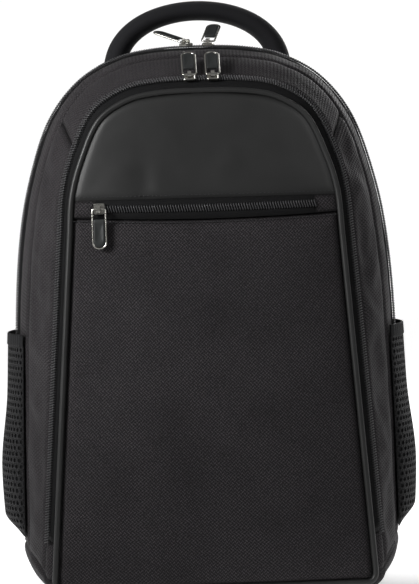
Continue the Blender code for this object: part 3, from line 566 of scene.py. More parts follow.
def turn_at_reach(share, reach):
    """Turn over the top at which the skin has a distance from the middle of the bag."""
    return turn_where(0, share, reach, -0.5, 0.5)


def put(tree, value, socket):
    """Link a value that is a socket, or set a plain one."""
    if isinstance(value, bpy.types.NodeSocket):
        tree.links.new(value, socket)
    else:
        socket.default_value = value


def add(tree, kind, values=(), **settings):
    """New node with its inputs filled by name or number."""
    node = tree.nodes.new(kind)
    for name, value in settings.items():
        setattr(node, name, value)
    for key, value in dict(values).items():
        put(tree, value, node.inputs[key])
    return node


def calc(tree, operation, first, second=0.0, third=0.0):
    """Result of a calculation on values or sockets."""
    return add(tree, "ShaderNodeMath", {0: first, 1: second, 2: third}, operation=operation).outputs[0]


def blend_colours(tree, share, first, second):
    """Colour between two colours."""
    node = add(tree, "ShaderNodeMix", {0: share, 6: (*first, 1.0), 7: (*second, 1.0)}, data_type="RGBA")
    return node.outputs[2]


def new_material(name, roughness, metallic=0.0, sheen=0.0, shine=0.5):
    """Material with its plain values set on the shader."""
    material = bpy.data.materials.new(name)
    material.use_nodes = True
    tree = material.node_tree
    shader = tree.nodes["Principled BSDF"]
    shader.inputs["Roughness"].default_value = roughness
    shader.inputs["Metallic"].default_value = metallic
    shader.inputs["Sheen Weight"].default_value = sheen
    shader.inputs["Sheen Roughness"].default_value = SHEEN_ROUGHNESS
    shader.inputs["Specular IOR Level"].default_value = shine
    return material, tree, shader


def add_bump(tree, shader, height, distance, strength=1.0):
    """Relief from a height."""
    bump = add(tree, "ShaderNodeBump", {"Height": height, "Distance": distance, "Strength": strength})
    tree.links.new(bump.outputs[0], shader.inputs["Normal"])


def soft_noise(tree, vector, scale, detail=3.0):
    """Grey noise with features of a size."""
    inputs = {"Vector": vector, "Scale": scale, "Detail": detail}
    return add(tree, "ShaderNodeTexNoise", inputs).outputs["Fac"]


def thread_material(name, dark, light, pitch, roughness, depth, slant=True, sheen=0.03):
    """Cloth of crossed threads, as a weave or a knit, with slight wear, and painted shade between the
    threads and in the seams' grooves.
    """
    material, tree, shader = new_material(name, roughness, sheen=sheen, shine=THREAD_SHINE)
    coordinates = add(tree, "ShaderNodeTexCoord").outputs
    parts = add(tree, "ShaderNodeSeparateXYZ", {0: coordinates["UV"]}).outputs
    first = calc(tree, "DIVIDE", parts[0], pitch)
    second = calc(tree, "DIVIDE", parts[1], pitch)
    if slant:
        first, second = calc(tree, "ADD", first, second), calc(tree, "SUBTRACT", first, second)
    cell = add(tree, "ShaderNodeCombineXYZ", {0: first, 1: second, 2: 0.5}).outputs[0]
    over = add(tree, "ShaderNodeTexChecker", {"Vector": cell, "Scale": 1.0}).outputs["Fac"]
    waves = [calc(tree, "ABSOLUTE", calc(tree, "SINE", calc(tree, "MULTIPLY", side, math.pi)))
             for side in (first, second)]
    relief = add(tree, "ShaderNodeMix", {0: over, 2: waves[0], 3: waves[1]}).outputs[0]
    grain = soft_noise(tree, cell, THREAD_GRAIN, 1.0)
    grain = calc(tree, "MULTIPLY_ADD", grain, *THREAD_GRAIN_SHADE)
    wear = soft_noise(tree, coordinates["Object"], THREAD_WEAR)
    wear = calc(tree, "MULTIPLY_ADD", wear, *THREAD_WEAR_SHADE)
    # Painted shade in the seams' grooves: the colour goes to the dark one at a seam
    groove = add(tree, "ShaderNodeAttribute", attribute_name="groove").outputs["Fac"]
    # Painted shade between the threads: the colour follows the weave's relief and is darkest in its valleys,
    # times the real uneven threads and wear
    shade = calc(tree, "MULTIPLY", calc(tree, "MULTIPLY", calc(tree, "POWER", relief, 2.0), grain), wear)
    shade = calc(tree, "MULTIPLY", calc(tree, "MAXIMUM", shade, 0.0), calc(tree, "SUBTRACT", 1.0, groove))
    put(tree, blend_colours(tree, shade, dark, light), shader.inputs["Base Color"])
    add_bump(tree, shader, relief, depth, THREAD_RELIEF)
    return material


def grain_material(name, dark, light, scale, roughness, depth, metallic=0.0, coat=0.0):
    """Moulded or coated surface with a fine grain and faint wear, and painted shade in the seams' grooves.
    """
    material, tree, shader = new_material(name, roughness, metallic)
    place = add(tree, "ShaderNodeTexCoord").outputs["Object"]
    cells = add(tree, "ShaderNodeTexVoronoi", {"Vector": place, "Scale": scale}).outputs["Distance"]
    wear = soft_noise(tree, place, scale * GRAIN_WEAR, GRAIN_WEAR_DETAIL)
    # Painted shade in the seams' grooves: the colour is multiplied down at a seam
    groove = add(tree, "ShaderNodeAttribute", attribute_name="groove").outputs["Fac"]
    painted_shade = blend_colours(tree, groove, (1.0, 1.0, 1.0), PAINTED_GROOVE_SHADE)
    colour = add(tree, "ShaderNodeMix", {0: 1.0, 6: blend_colours(tree, wear, dark, light), 7: painted_shade},
                 data_type="RGBA", blend_type="MULTIPLY").outputs[2]
    put(tree, colour, shader.inputs["Base Color"])
    rough = calc(tree, "MULTIPLY_ADD", wear, WEAR_ROUGHNESS, roughness - WEAR_ROUGHNESS / 2)
    put(tree, rough, shader.inputs["Roughness"])
    shader.inputs["Coat Weight"].default_value = coat
    shader.inputs["Coat Roughness"].default_value = COAT_ROUGHNESS
    add_bump(tree, shader, cells, depth, GRAIN_RELIEF)
    return material


# Name, dark and light colour, thread pitch or grain scale, roughness and depth of the relief. On woven and
# knitted cloth the colour goes to the dark one as painted shade between the threads and in the seams'
# grooves, and also with its uneven threads and wear
MATERIALS = {
    "fabric": thread_material(
        "woven_cloth", (0.0030, 0.0025, 0.0029), (0.086, 0.078, 0.084), 0.0030, 0.66, 0.00036),
    "leather": grain_material(
        "coated_cloth", (0.015, 0.0152, 0.015), (0.021, 0.0212, 0.021), 1400, 0.44, 0.00005, coat=0.04),
    "tape": thread_material(
        "zip_tape", (0.0020, 0.0020, 0.0023), (0.012, 0.012, 0.013), 0.0007, 0.70, 0.00012, slant=False),
    "mesh": thread_material(
        "net_cord", (0.006, 0.006, 0.0065), (0.046, 0.045, 0.047), 0.0006, 0.70, 0.00010),
    "padding": thread_material(
        "soft_knit", (0.006, 0.006, 0.007), (0.022, 0.022, 0.025), 0.0008, 0.78, 0.00010, sheen=0.06),
    "webbing": thread_material(
        "ribbed_webbing", (0.004, 0.004, 0.0045), (0.026, 0.026, 0.028), 0.0012, 0.68, 0.00025, slant=False),
    "metal": grain_material(
        "nickel", (0.56, 0.55, 0.51), (0.68, 0.66, 0.61), 2600, 0.24, 0.00001, metallic=1.0),
    "rubber": grain_material(
        "pull_rubber", (0.016, 0.018, 0.018), (0.026, 0.028, 0.028), 2200, 0.40, 0.00003),
    "plastic": grain_material(
        "moulded_plastic", (0.009, 0.009, 0.010), (0.018, 0.018, 0.019), 1800, 0.42, 0.00004),
    # The coil teeth are black; their lighter colour is a painted highlight on their loops
    "teeth": grain_material(
        "coil_teeth_painted_highlight", (0.050, 0.050, 0.052), (0.085, 0.085, 0.088), 1500, 0.34, 0.00002),
    "thread": grain_material(
        "sewing_thread", (0.016, 0.016, 0.018), (0.036, 0.036, 0.038), 3000, 0.55, 0.00004),
}


def link_new(name, data):
    """New object with its data, in the scene."""
    thing = bpy.data.objects.new(name, data)
    bpy.context.scene.collection.objects.link(thing)
    return thing


def add_piece(name, mesh, material, node=None, body="bag"):
    """Put a finished mesh into the scene as a piece of the bag, in place of a node where it has one."""
    mesh.name = name
    thing = link_new(name, mesh)
    mesh.materials.append(MATERIALS[material])
    mesh.shade_smooth()
    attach(thing, body)
    if node:
        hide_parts(node)
    return thing


def mark_painted_groove_shade(mesh, away):
    """Keep on a mesh how near each point lies to a seam, for the painted shade that darkens the colour in
    its groove.
    """
    layer = mesh.attributes.new("groove", "FLOAT", "POINT")
    layer.data.foreach_set("value", np.exp(-(away / PAINTED_SHADE_REACH) ** 2).reshape(-1))
    return mesh


def lengths_along(points, axis):
    """Mean running length of a grid of points along one of its axes."""
    steps = np.linalg.norm(np.diff(points, axis=axis), axis=2).mean(axis=1 - axis)
    return np.concatenate([[0.0], np.cumsum(steps)])


def grid_mesh(points, closed=False, caps=False):
    """Surface through a grid of points, with its running lengths in metres as its UV map."""
    rows, columns = points.shape[:2]
    count = rows if closed else rows - 1
    index = np.arange(rows * columns).reshape(rows, columns)
    after = np.roll(index, -1, axis=0)[:count]
    index = index[:count]
    faces = np.stack([index[:, :-1], after[:, :-1], after[:, 1:], index[:, 1:]], axis=2).reshape(-1, 4)
    ends = [after[-1, :-1].tolist(), index[0, -2::-1].tolist()] if caps else []
    mesh = bpy.data.meshes.new("grid")
    mesh.from_pydata(points.reshape(-1, 3).tolist(), [], faces.tolist() + ends)
    down = lengths_along(points, 0)
    over = lengths_along(points, 1)
    step = down[-1] / max(rows - 1, 1)
    down_of = np.concatenate([down, [down[-1] + step]])
    row_of = np.arange(count)
    low_row, low_column = np.meshgrid(row_of, np.arange(columns - 1), indexing="ij")
    corners = [(low_row, low_column), (low_row + 1, low_column),
               (low_row + 1, low_column + 1), (low_row, low_column + 1)]
    places = np.stack([np.stack([down_of[row], over[column]], axis=2) for row, column in corners], axis=2)
    layer = mesh.uv_layers.new(name="metres")
    cap_places = np.zeros(2 * sum(len(end) for end in ends))
    layer.data.foreach_set("uv", np.concatenate([places.reshape(-1), cap_places]))
    mesh.update()
    return mesh


def ready_mesh(thing):
    """Mesh of an object with its modifiers applied."""
    graph = bpy.context.evaluated_depsgraph_get()
    return bpy.data.meshes.new_from_object(thing.evaluated_get(graph))


def apply_modifiers(thing):
    """Keep an object's modified mesh as its own."""
    mesh = ready_mesh(thing)
    thing.modifiers.clear()
    thing.data = mesh


def vert_places(mesh):
    """Points of a mesh as an array."""
    places = np.zeros(len(mesh.vertices) * 3)
    mesh.vertices.foreach_get("co", places)
    return places.reshape(-1, 3)


def lay_uv(mesh, flat):
    """UV map from a flat place in metres for each point of a mesh."""
    loops = np.zeros(len(mesh.loops), int)
    mesh.loops.foreach_get("vertex_index", loops)
    mesh.uv_layers.new(name="metres").data.foreach_set("uv", flat[loops].reshape(-1))


def puff(thing, fill):
    """Simulate cloth that foam presses outward, held at the seams along its edges."""
    voxels = thing.modifiers.new("Voxels", "REMESH")
    voxels.mode = "VOXEL"
    voxels.voxel_size = VOXEL
    apply_modifiers(thing)
    mesh = thing.data
    start = vert_places(mesh)
    held = thing.vertex_groups.new(name="held")
    held.add([vert.index for vert in mesh.vertices if abs(vert.normal.y) < HELD_SLOPE], 1.0, "REPLACE")
    cloth = thing.modifiers.new("Cloth", "CLOTH")
    cloth.settings.vertex_group_mass = "held"
    cloth.settings.use_pressure = True
    cloth.settings.uniform_pressure_force = PRESSURE * fill
    cloth.settings.effector_weights.gravity = 0.0
    cloth.point_cache.frame_end = PUFF_FRAMES
    for step in range(1, PUFF_FRAMES + 1):
        bpy.context.scene.frame_set(step)
    moved = vert_places(ready_mesh(thing)) - start
    length = np.linalg.norm(moved, axis=1, keepdims=True)
    moved *= np.minimum(1.0, PUFF_LIMIT / np.maximum(length, 1e-9))
    thing.modifiers.clear()
    mesh.vertices.foreach_set("co", (start + moved).reshape(-1))
    bpy.context.scene.frame_set(1)
    thing.modifiers.new("Smooth", "SUBSURF").levels = 1
    apply_modifiers(thing)
    lay_uv(thing.data, vert_places(thing.data)[:, [0, 2]])
    thing.data.shade_smooth()


def edge_distance(points, ends=(True, True, True, True)):
    """Distance of each grid point from the nearest edge: first and last row, first and last column."""
    down = lengths_along(points, 0)[:, None] + np.zeros(points.shape[1])
    over = lengths_along(points, 1)[None, :] + np.zeros((points.shape[0], 1))
    away = np.full(points.shape[:2], 1.0)
    for used, distance in zip(ends, (down, down[-1:] - down, over, over[:, -1:] - over)):
        if used:
            away = np.minimum(away, distance)
    return away


def creases(points, size, height, seed=0.0):
    """Smooth heights of broad creases at points."""
    flat = points.reshape(-1, 3) / size + seed
    closer, lower = FINE_FOLDS
    found = [noise.noise(Vector(place)) + lower * noise.noise(Vector(place * closer)) for place in flat]
    return np.array(found).reshape(points.shape[:2]) * height


def puckers(points, away, seed):
    """Small heights of the cloth drawn together at its seams."""
    return creases(points, PUCKER_SIZE, PUCKER_HEIGHT, seed) * np.exp(-away / PUCKER_REACH)


def free(away, reach):
    """How free the cloth is at distances from its seams, from 0 at a seam to 1."""
    return 1.0 - np.exp(-(away / reach) ** 2)


def seam_dip(away, groove=SEAM_GROOVE):
    """Height of a panel near its seams: a tight groove and a soft shoulder."""
    return -groove * np.exp(-(away / SEAM_REACH) ** 2) - groove * SHOULDER_SHARE * np.exp(-away / PUFF_REACH)


def spaced(start, end, length):
    """Evenly spaced values, close enough for smooth cloth over a length."""
    return np.linspace(start, end, max(int(length / CLOTH_STEP), 4))


def skin_panel(name, turns, shares, material, node, fold, seed=0.0, size=FOLD_SIZE):
    """Sewn cloth panel of the bag's skin between turns and depth shares."""
    length = running(skin_at(np.linspace(*turns, MIDDLE_POINTS), mix(*shares, 0.5)))[-1]
    width = (shares[1] - shares[0]) * BODY_DEPTH * WIDTH_SPARE
    turn, share = grid(spaced(*turns, length), spaced(*shares, width))
    flat = skin_at(turn, share)
    away = edge_distance(flat)
    height = seam_dip(away) + creases(flat, size, fold, seed) * free(away, FOLD_START)
    height += puckers(flat, away, seed + PUCKER_SEED_STEP)
    add_piece(name, mark_painted_groove_shade(grid_mesh(skin_at(turn, share, height)), away), material, node)


def directions(points, closed=False):
    """Unit directions along a polyline."""
    if closed:
        return unit(np.roll(points, -1, axis=0) - np.roll(points, 1, axis=0))
    return unit(np.gradient(points, axis=0))


def bar_shape(route, radius, sides=5):
    """Small round bar along a route of points, as points and faces."""
    points = []
    faces = []
    for place, step in zip(route, directions(route)):
        first = unit(np.cross(step, NO_BAR_DIRECTION))
        second = np.cross(step, first)
        for angle in np.arange(sides) * 2 * math.pi / sides:
            points.append(place + (first * math.cos(angle) + second * math.sin(angle)) * radius)
    for ring in range(len(route) - 1):
        for side in range(sides):
            here = ring * sides + side
            there = ring * sides + (side + 1) % sides
            faces.append((here, there, there + sides, here + sides))
    faces.append(tuple(range(sides))[::-1])
    faces.append(tuple(range(len(points) - sides, len(points))))
    return np.array(points), faces


def add_row(name, material, points, outward, pitch, route, radius):
    """Small bars repeated along a line. The route's X, Y and Z lie across, along and outward."""
    count = max(int(running(points)[-1] / pitch), 2)
    found = spread_along(points, np.concatenate([points, outward], axis=1), count)
    places, normals = found[:, :3], unit(found[:, 3:])
    along = directions(places)
    frames = np.stack([np.cross(along, normals), along, normals], axis=1)
    shape, faces = bar_shape(np.array(route), radius)
    bars = places[:, None, :] + np.einsum("sk,nkj->nsj", shape, frames)
    starts = np.arange(len(places)) * len(shape)
    every = []
    for face in faces:
        every += (starts[:, None] + np.array(face)[None, :]).tolist()
    mesh = bpy.data.meshes.new(name)
    mesh.from_pydata(bars.reshape(-1, 3).tolist(), [], every)
    mesh.update()
    add_piece(name, mesh, material)


def add_stitches(name, points, outward):
    """Row of sewn stitches along a line on the cloth."""
    route = [(0.0, place * STITCH_LENGTH / 2, height * STITCH_RADIUS) for place, height in STITCH_ROUTE]
    add_row(name, "thread", points, outward, STITCH_PITCH, route, STITCH_RADIUS)


def add_teeth(name, points, outward):
    """Coil of a closed zip along a line: crossed loops that meet in the middle."""
    route = np.array(TOOTH_ROUTE) * [TOOTH_REACH, TOOTH_PITCH * TOOTH_LEAN, TOOTH_HEIGHT]
    add_row(name, "teeth", points, outward, TOOTH_PITCH, route, TOOTH_RADIUS)


def tube_mesh(points, radius, sides=12, closed=False, flatten=1.0, level=(0.0, 1.0, 0.0)):
    """Round bar along a route, with its running lengths as its UV map."""
    along = directions(points, closed)
    second = unit(np.cross(along, level))
    first = np.cross(second, along)
    radius = np.broadcast_to(radius, len(points))
    rings = []
    for angle in np.linspace(0.0, 2 * math.pi, sides + 1):
        spread_out = first * math.cos(angle) * flatten + second * math.sin(angle)
        rings.append(points + spread_out * radius[:, None])
    return grid_mesh(np.stack(rings, axis=1), closed)


def skin_line(start, end, share, outward=0.0, count=SEAM_POINTS):
    """Line on the skin at a depth share, with its outward directions."""
    turns = np.linspace(start, end, count)
    return skin_at(turns, share, np.full(count, outward)), outward_at(turns, share)


def make_body():
    """Gussets, zips and base."""
    main_end = turn_at_height(MAIN_ZIP_DEPTH / BODY_DEPTH, MAIN_ZIP_END_HEIGHT)
    front_end = turn_at_height(FRONT_ZIP_SHARE, FRONT_ZIP_END_HEIGHT)
    shoulder = turn_at_reach(SEAM_SHARE, SHOULDER_REACH)
    whole = (-1.0, 1.0)
    main = (ZIP_REAR, ZIP_FRONT)
    wall = (SEAM_SHARE, FRONT_ZIP_SHARE)
    front = (FRONT_ZIP_SHARE, PIPING_SHARE)
    left_fold = (SIDE_FOLD, 5.9, SIDE_FOLD_SIZE)
    right_fold = (SIDE_FOLD, 9.2, SIDE_FOLD_SIZE)
    for panel in (
        ("rear_gusset", whole, (0.0, ZIP_REAR), "fabric", "main_gusset_rear", GUSSET_FOLD, 3.1),
        ("middle_gusset", whole, (ZIP_FRONT, SEAM_SHARE), "fabric", "main_gusset_front", GUSSET_FOLD, 7.7),
        ("main_tape", (-main_end, main_end), main, "tape", "main_zip", TAPE_FOLD),
        ("main_tab_left", (-1.0, -main_end), main, "fabric", "main_zip_tab_left", TAB_FOLD),
        ("main_tab_right", (main_end, 1.0), main, "fabric", "main_zip_tab_right", TAB_FOLD),
        ("front_gusset_top_cloth", (-shoulder, shoulder), wall, "fabric", "front_gusset_top", TOP_FOLD, 1.3),
        ("front_gusset_left_cloth", (-1.0, -shoulder), wall, "fabric", "front_gusset_left", *left_fold),
        ("front_gusset_right_cloth", (shoulder, 1.0), wall, "fabric", "front_gusset_right", *right_fold),
        ("front_tape", (-front_end, front_end), front, "tape", "front_zip", TAPE_FOLD),
        ("front_tab_left", (-1.0, -front_end), front, "fabric", "front_zip_tab_left", TAB_FOLD),
        ("front_tab_right", (front_end, 1.0), front, "fabric", "front_zip_tab_right", TAB_FOLD),
    ):
        skin_panel(*panel)
    make_base()
    turns = np.linspace(-front_end, front_end, COIL_POINTS)
    place = np.interp(np.abs(turns), FRONT_TEETH_TURNS, FRONT_TEETH_PLACES)
    shares = mix(FRONT_ZIP_SHARE, PIPING_SHARE, place)
    rise = np.full(COIL_POINTS, FRONT_TEETH_RISE)
    add_teeth("front_teeth", skin_at(turns, shares, rise), outward_at(turns, shares))
    middle = MAIN_ZIP_DEPTH / BODY_DEPTH
    add_teeth("main_teeth", *skin_line(-main_end, main_end, middle, MAIN_TEETH_RISE, COIL_POINTS))
    inset = STITCH_INSET / BODY_DEPTH
    for name, share in (
        ("stitch_rear", ZIP_REAR - inset),
        ("stitch_middle", ZIP_FRONT + inset),
        ("stitch_seam", SEAM_SHARE + inset),
        ("stitch_front_zip", FRONT_ZIP_SHARE - inset),
    ):
        add_stitches(name, *skin_line(*whole, share, -SEAM_GROOVE * STITCH_SINK))


def make_base():
    """Base with the two lower corners, from one corner's top round to the other's."""
    corner, base, columns = BASE_POINTS
    turn, share = grid(joined((1.0, 2.0, corner), (2.0, 3.0, base)), np.linspace(0.0, PIPING_SHARE, columns))
    flat = skin_at(turn, share)
    height = seam_dip(edge_distance(flat, (True, False, True, True)))
    right = skin_at(turn, share, height * np.clip(flat[:, :, 2] / BASE_FADE, 0.0, 1.0))
    left = right * np.array([-1.0, 1.0, 1.0])
    add_piece("base_cloth", grid_mesh(np.concatenate([right, left[-2::-1]])), "fabric", "bottom_panel")


@lru_cache(maxsize=None)
def face_outline(inset):
    """Half widths and heights of the front face's outline, moved in by a distance, from the top down."""
    side, corner = OUTLINE_POINTS
    flat = skin_at(joined((0.0, 1.0, side), (1.0, 2.0, corner)), 1.0)[:, [0, 2]]
    along = np.gradient(flat, axis=0)
    return flat - unit(np.stack([-along[:, 1], along[:, 0]], axis=1)) * inset


def half_width_at(height, inset=FACE_INSET):
    """Half widths of the front face at heights."""
    outline = face_outline(inset)
    return np.interp(height, outline[::-1, 1], outline[::-1, 0])


def face_at(across, height, outward=0.0, half_width=None):
    """Points on the crowned front face at shares across it and heights."""
    across, height = np.broadcast_arrays(np.asarray(across, float), np.asarray(height, float))
    if half_width is None:
        half_width = half_width_at(height)
    crown = CROWN * read_many(CROWN_ROWS, "crown", height / PANEL_HEIGHT)
    bulge = crown * (1.0 - np.abs(across) ** CROWN_SIDE_POWER)
    depth = depth_at(1.0, height) - PANEL_CLOTH / 2 - bulge - outward
    return np.stack([across * half_width, depth, height], axis=-1)


def zip_low(across):
    """Height of the pocket zip's lower edge, which sags in the middle."""
    return POCKET_ZIP_TOP - POCKET_ZIP_HEIGHT - POCKET_ZIP_SAG * (1.0 - across ** 2)


def face_sheet(name, columns, low, high, rows, material, node, relief):
    """Panel of the front face between two heights or rows of heights, with a relief over it."""
    across, part = grid(columns, np.linspace(0.0, 1.0, rows))
    height = mix(low, high, part)
    flat = face_at(across, height)
    mesh = mark_painted_groove_shade(grid_mesh(face_at(across, height, relief(flat))), edge_distance(flat))
    add_piece(name, mesh, material, node)


def tape_relief(flat):
    """Heights of the pocket zip's tape and tabs."""
    return seam_dip(edge_distance(flat), TAPE_GROOVE)


def lower_relief(flat):
    """Heights of the lower panel: broad folds, small puckers and its seams."""
    away = edge_distance(flat)
    broad = sum(creases(flat, *fold) for fold in LOWER_FOLDS)
    return seam_dip(away) + broad * free(away, FACE_FOLD_START) + puckers(flat, away, LOWER_PUCKER_SEED)


def make_upper_sheet():
    """Upper panel, whose rows follow the rounded outline, with the dent in it."""
    outline = face_outline(FACE_INSET)
    rows = evenly(outline[outline[:, 1] > POCKET_ZIP_TOP + SEAM_GAP], UPPER_POINTS[0])[1:]
    rows[-1, 1] = POCKET_ZIP_TOP
    row, column = grid(np.arange(len(rows)), np.linspace(-1.0, 1.0, UPPER_POINTS[1]))
    half_width, height = rows[row, 0], rows[row, 1]
    flat = face_at(column, height, 0.0, half_width)
    top = np.interp(np.abs(flat[:, :, 0]), outline[:, 0], outline[:, 1])
    away = np.minimum(np.minimum((1.0 - np.abs(column)) * half_width, top - height), height - POCKET_ZIP_TOP)
    away = np.maximum(away, 0.0)
    relief = seam_dip(away, UPPER_GROOVE) + creases(flat, *UPPER_FOLD) * free(away, FACE_FOLD_START)
    beside = (flat[:, :, 0] - DENT_PLACE[0]) / DENT_SIZE[0]
    above = (height - DENT_PLACE[1]) / DENT_SIZE[1]
    relief = relief - DENT_DEPTH * np.exp(-beside ** 2 - above ** 2)
    mesh = mark_painted_groove_shade(grid_mesh(face_at(column, height, relief, half_width)), away)
    add_piece("upper_sheet", mesh, "leather", "upper_panel")


def make_front():
    """Upper panel, pocket zip, lower panel and piping of the front face."""
    make_upper_sheet()
    tab = 1.0 - POCKET_TAB_LENGTH / float(half_width_at(POCKET_ZIP_TOP))
    columns, rows = TAPE_POINTS
    for name, ends, material, node in (
        ("pocket_tape", (-tab, tab, columns), "tape", "pocket_zip"),
        ("pocket_tab_left_cloth", (-1.0, -tab, TAB_COLUMNS), "fabric", "pocket_zip_tab_left"),
        ("pocket_tab_right_cloth", (tab, 1.0, TAB_COLUMNS), "fabric", "pocket_zip_tab_right"),
    ):
        across = np.linspace(*ends)
        face_sheet(name, across, zip_low(across)[:, None], POCKET_ZIP_TOP, rows, material, node, tape_relief)
    across = np.linspace(-1.0, 1.0, LOWER_POINTS[0])
    face_sheet("lower_sheet", across, BASE_LIFT + FACE_INSET, zip_low(across)[:, None], LOWER_POINTS[1],
               "fabric", "lower_panel", lower_relief)

    line = np.linspace(-tab, tab, LINE_POINTS)
    towards = np.tile([0.0, -1.0, 0.0], (LINE_POINTS, 1))
    middle = mix(zip_low(line), POCKET_ZIP_TOP, POCKET_TEETH_PLACE)
    add_teeth("pocket_teeth", face_at(line, middle, POCKET_TEETH_RISE), towards)
    line = np.linspace(-POCKET_STITCH_REACH, POCKET_STITCH_REACH, LINE_POINTS)
    for name, height in (
        ("stitch_pocket_high", POCKET_ZIP_TOP + STITCH_INSET),
        ("stitch_pocket_low", zip_low(line) - STITCH_INSET),
    ):
        add_stitches(name, face_at(line, height, POCKET_STITCH_RISE), towards)

    side, corner, base = PIPING_POINTS
    half = joined((0.0, 1.0, side), (1.0, 2.0, corner), (2.0, 3.0, base))
    turns = np.concatenate([half, -half[-2:0:-1]])
    loop = skin_at(turns, 1.0, np.full(len(turns), -PIPING_SINK))
    cord = tube_mesh(loop, PIPING_RADIUS * PIPING_SWELL, closed=True)
    add_piece("piping_cord", cord, "leather", "front_piping")


def pocket_at(side, back_to_front, drop, outward):
    """Points on a side pocket, which stands off the bag's side."""
    inset = SIDE_POCKET_INSET / BODY_DEPTH
    share = mix(inset, SEAM_SHARE - inset, back_to_front)
    height = mix(SIDE_POCKET_TOP, SIDE_POCKET_BOTTOM, drop)
    belly = np.maximum(np.sin(math.pi * back_to_front), 0.0) ** POCKET_SIDE_POWER
    stand = SIDE_POCKET_BULGE * read_many(POCKET_ROWS, "bulge", drop) * belly
    outward = np.where(stand > SIDE_POCKET_SEAT, outward, np.maximum(outward, 0.0))
    samples = np.linspace(0.0, 1.0, POCKET_SAMPLES)
    turn = np.zeros(share.shape)
    for value in np.unique(share):
        found = share == value
        heights = skin_at(samples, value)[:, 2]
        turn[found] = np.interp(height[found], heights[::-1], samples[::-1])
    return skin_at(side * turn, share, SIDE_POCKET_SEAT + stand + outward)


def net_cells(columns, rows):
    """Points and faces of a flat net of round holes, one ring for each cell of a brick pattern."""
    points = []
    faces = []
    for row in range(rows):
        shift = 0.5 * (row % 2)
        for column in range(-1, columns + 1):
            low = max(column + shift, 0.0)
            high = min(column + shift + 1.0, float(columns))
            if high - low < NARROWEST_CELL:
                continue
            start = len(points)
            middle = (low + high) / 2
            for edge in (0.0, 1.0):
                for step in range(HOLE_SIDES):
                    angle = (step + 0.5) * 2 * math.pi / HOLE_SIDES
                    cosine, sine = math.cos(angle), math.sin(angle)
                    out = mix(NET_HOLE, 0.5 / max(abs(cosine), abs(sine)), edge)
                    points.append((middle + cosine * out * (high - low), row + 0.5 + sine * out))
            for step in range(HOLE_SIDES):
                here, after = start + step, start + (step + 1) % HOLE_SIDES
                faces.append((here, after, after + HOLE_SIDES, here + HOLE_SIDES))
    return np.array(points), faces


def make_pocket(side, label):
    """Net pocket with round holes and its elastic band, on one side."""
    tall = SIDE_POCKET_TOP - SIDE_POCKET_BOTTOM
    band = BAND_HEIGHT / tall
    columns = int((SEAM_SHARE * BODY_DEPTH - 2 * SIDE_POCKET_INSET) / NET_PITCH)
    rows = int(tall * (1 - band) / NET_PITCH * NET_ROW_SPREAD)
    points, faces = net_cells(columns, rows)
    part = np.round(points[:, 0] / columns, 3)
    places = pocket_at(side, part, mix(band, 1.0, points[:, 1] / rows), np.zeros(len(part)))
    mesh = bpy.data.meshes.new("net_" + label)
    mesh.from_pydata(places.tolist(), [], faces)
    lay_uv(mesh, points * NET_PITCH)
    net = add_piece("net_" + label, mesh, "mesh", "side_pocket_" + label)
    thick = net.modifiers.new("Thickness", "SOLIDIFY")
    thick.thickness = NET_THICKNESS
    thick.offset = 0.0

    # A dark sheet just behind the net, which stands in for the shade inside the pocket
    columns, rows = SHADE_SHEET_POINTS
    across, drop = grid(np.round(np.linspace(0.0, 1.0, columns), 3), np.linspace(band, 1.0, rows))
    shade_sheet = pocket_at(side, across, drop, -NET_THICKNESS * SHADE_SHEET_SINK)
    add_piece("pocket_shade_" + label, grid_mesh(shade_sheet), "tape")

    columns, rows = BAND_POINTS
    across, around = grid(np.linspace(0.0, 1.0, columns), np.linspace(0.0, 2 * math.pi, rows))
    drop = mix(0.0, band, 0.5 + 0.5 * np.clip(np.cos(around) * BAND_TOP_SHAPE, -1.0, 1.0))
    ribs = BAND_RIB * np.sin(across * BAND_RIBS)
    outward = np.clip(np.sin(around) * BAND_SIDE_SHAPE, -1.0, 1.0) * BAND_THICKNESS / 2 + ribs
    elastic = grid_mesh(pocket_at(side, np.round(across, 3), drop, outward))
    add_piece("elastic_" + label, elastic, "webbing", "pocket_band_" + label)


def make_handle():
    """Padded grab handle with its tabs."""
    share = HANDLE_BACK_OFFSET / BODY_DEPTH
    foot_turn = turn_at_reach(share, HANDLE_SPAN / 2)
    seat = skin_at(foot_turn, share, ANCHOR_CLOTH + SEAM_GAP * 3)
    low = seat[2] - HANDLE_THICKNESS
    steps, sides = HANDLE_POINTS
    angles = np.linspace(math.pi * (1 - HANDLE_END), math.pi * HANDLE_END, steps)
    heights = low + (HANDLE_RISE + HANDLE_STRETCH + HANDLE_THICKNESS) * np.sin(angles) ** HANDLE_ARCH
    route = np.stack([np.cos(angles) * HANDLE_SPAN / 2, np.full(steps, seat[1]), heights], axis=1)
    swell = mix(HANDLE_FOOT_SWELL, 1.0, np.sin(angles)) * HANDLE_THICKNESS / 2
    handle = tube_mesh(route, swell, sides, flatten=HANDLE_DEPTH / HANDLE_THICKNESS)
    add_piece("handle_pad", handle, "padding", "grab_handle")
    half_turn = ANCHOR_LENGTH / 2 / BODY_HEIGHT
    half_depth = ANCHOR_DEPTH / 2 / BODY_DEPTH
    rows, columns = HANDLE_TAB_POINTS
    shares = np.linspace(max(share - half_depth, HANDLE_TAB_START), share + half_depth, columns)
    for side, label in SIDES:
        turn, depth = grid(side * foot_turn + np.linspace(-half_turn, half_turn, rows), shares)
        away = edge_distance(skin_at(turn, depth))
        height = (ANCHOR_CLOTH + SEAM_GAP * 2) * free(away, HANDLE_TAB_REACH) - HANDLE_TAB_SINK
        tab = grid_mesh(skin_at(turn, depth, height))
        add_piece("handle_tab_" + label, tab, "webbing", "handle_anchor_" + label)


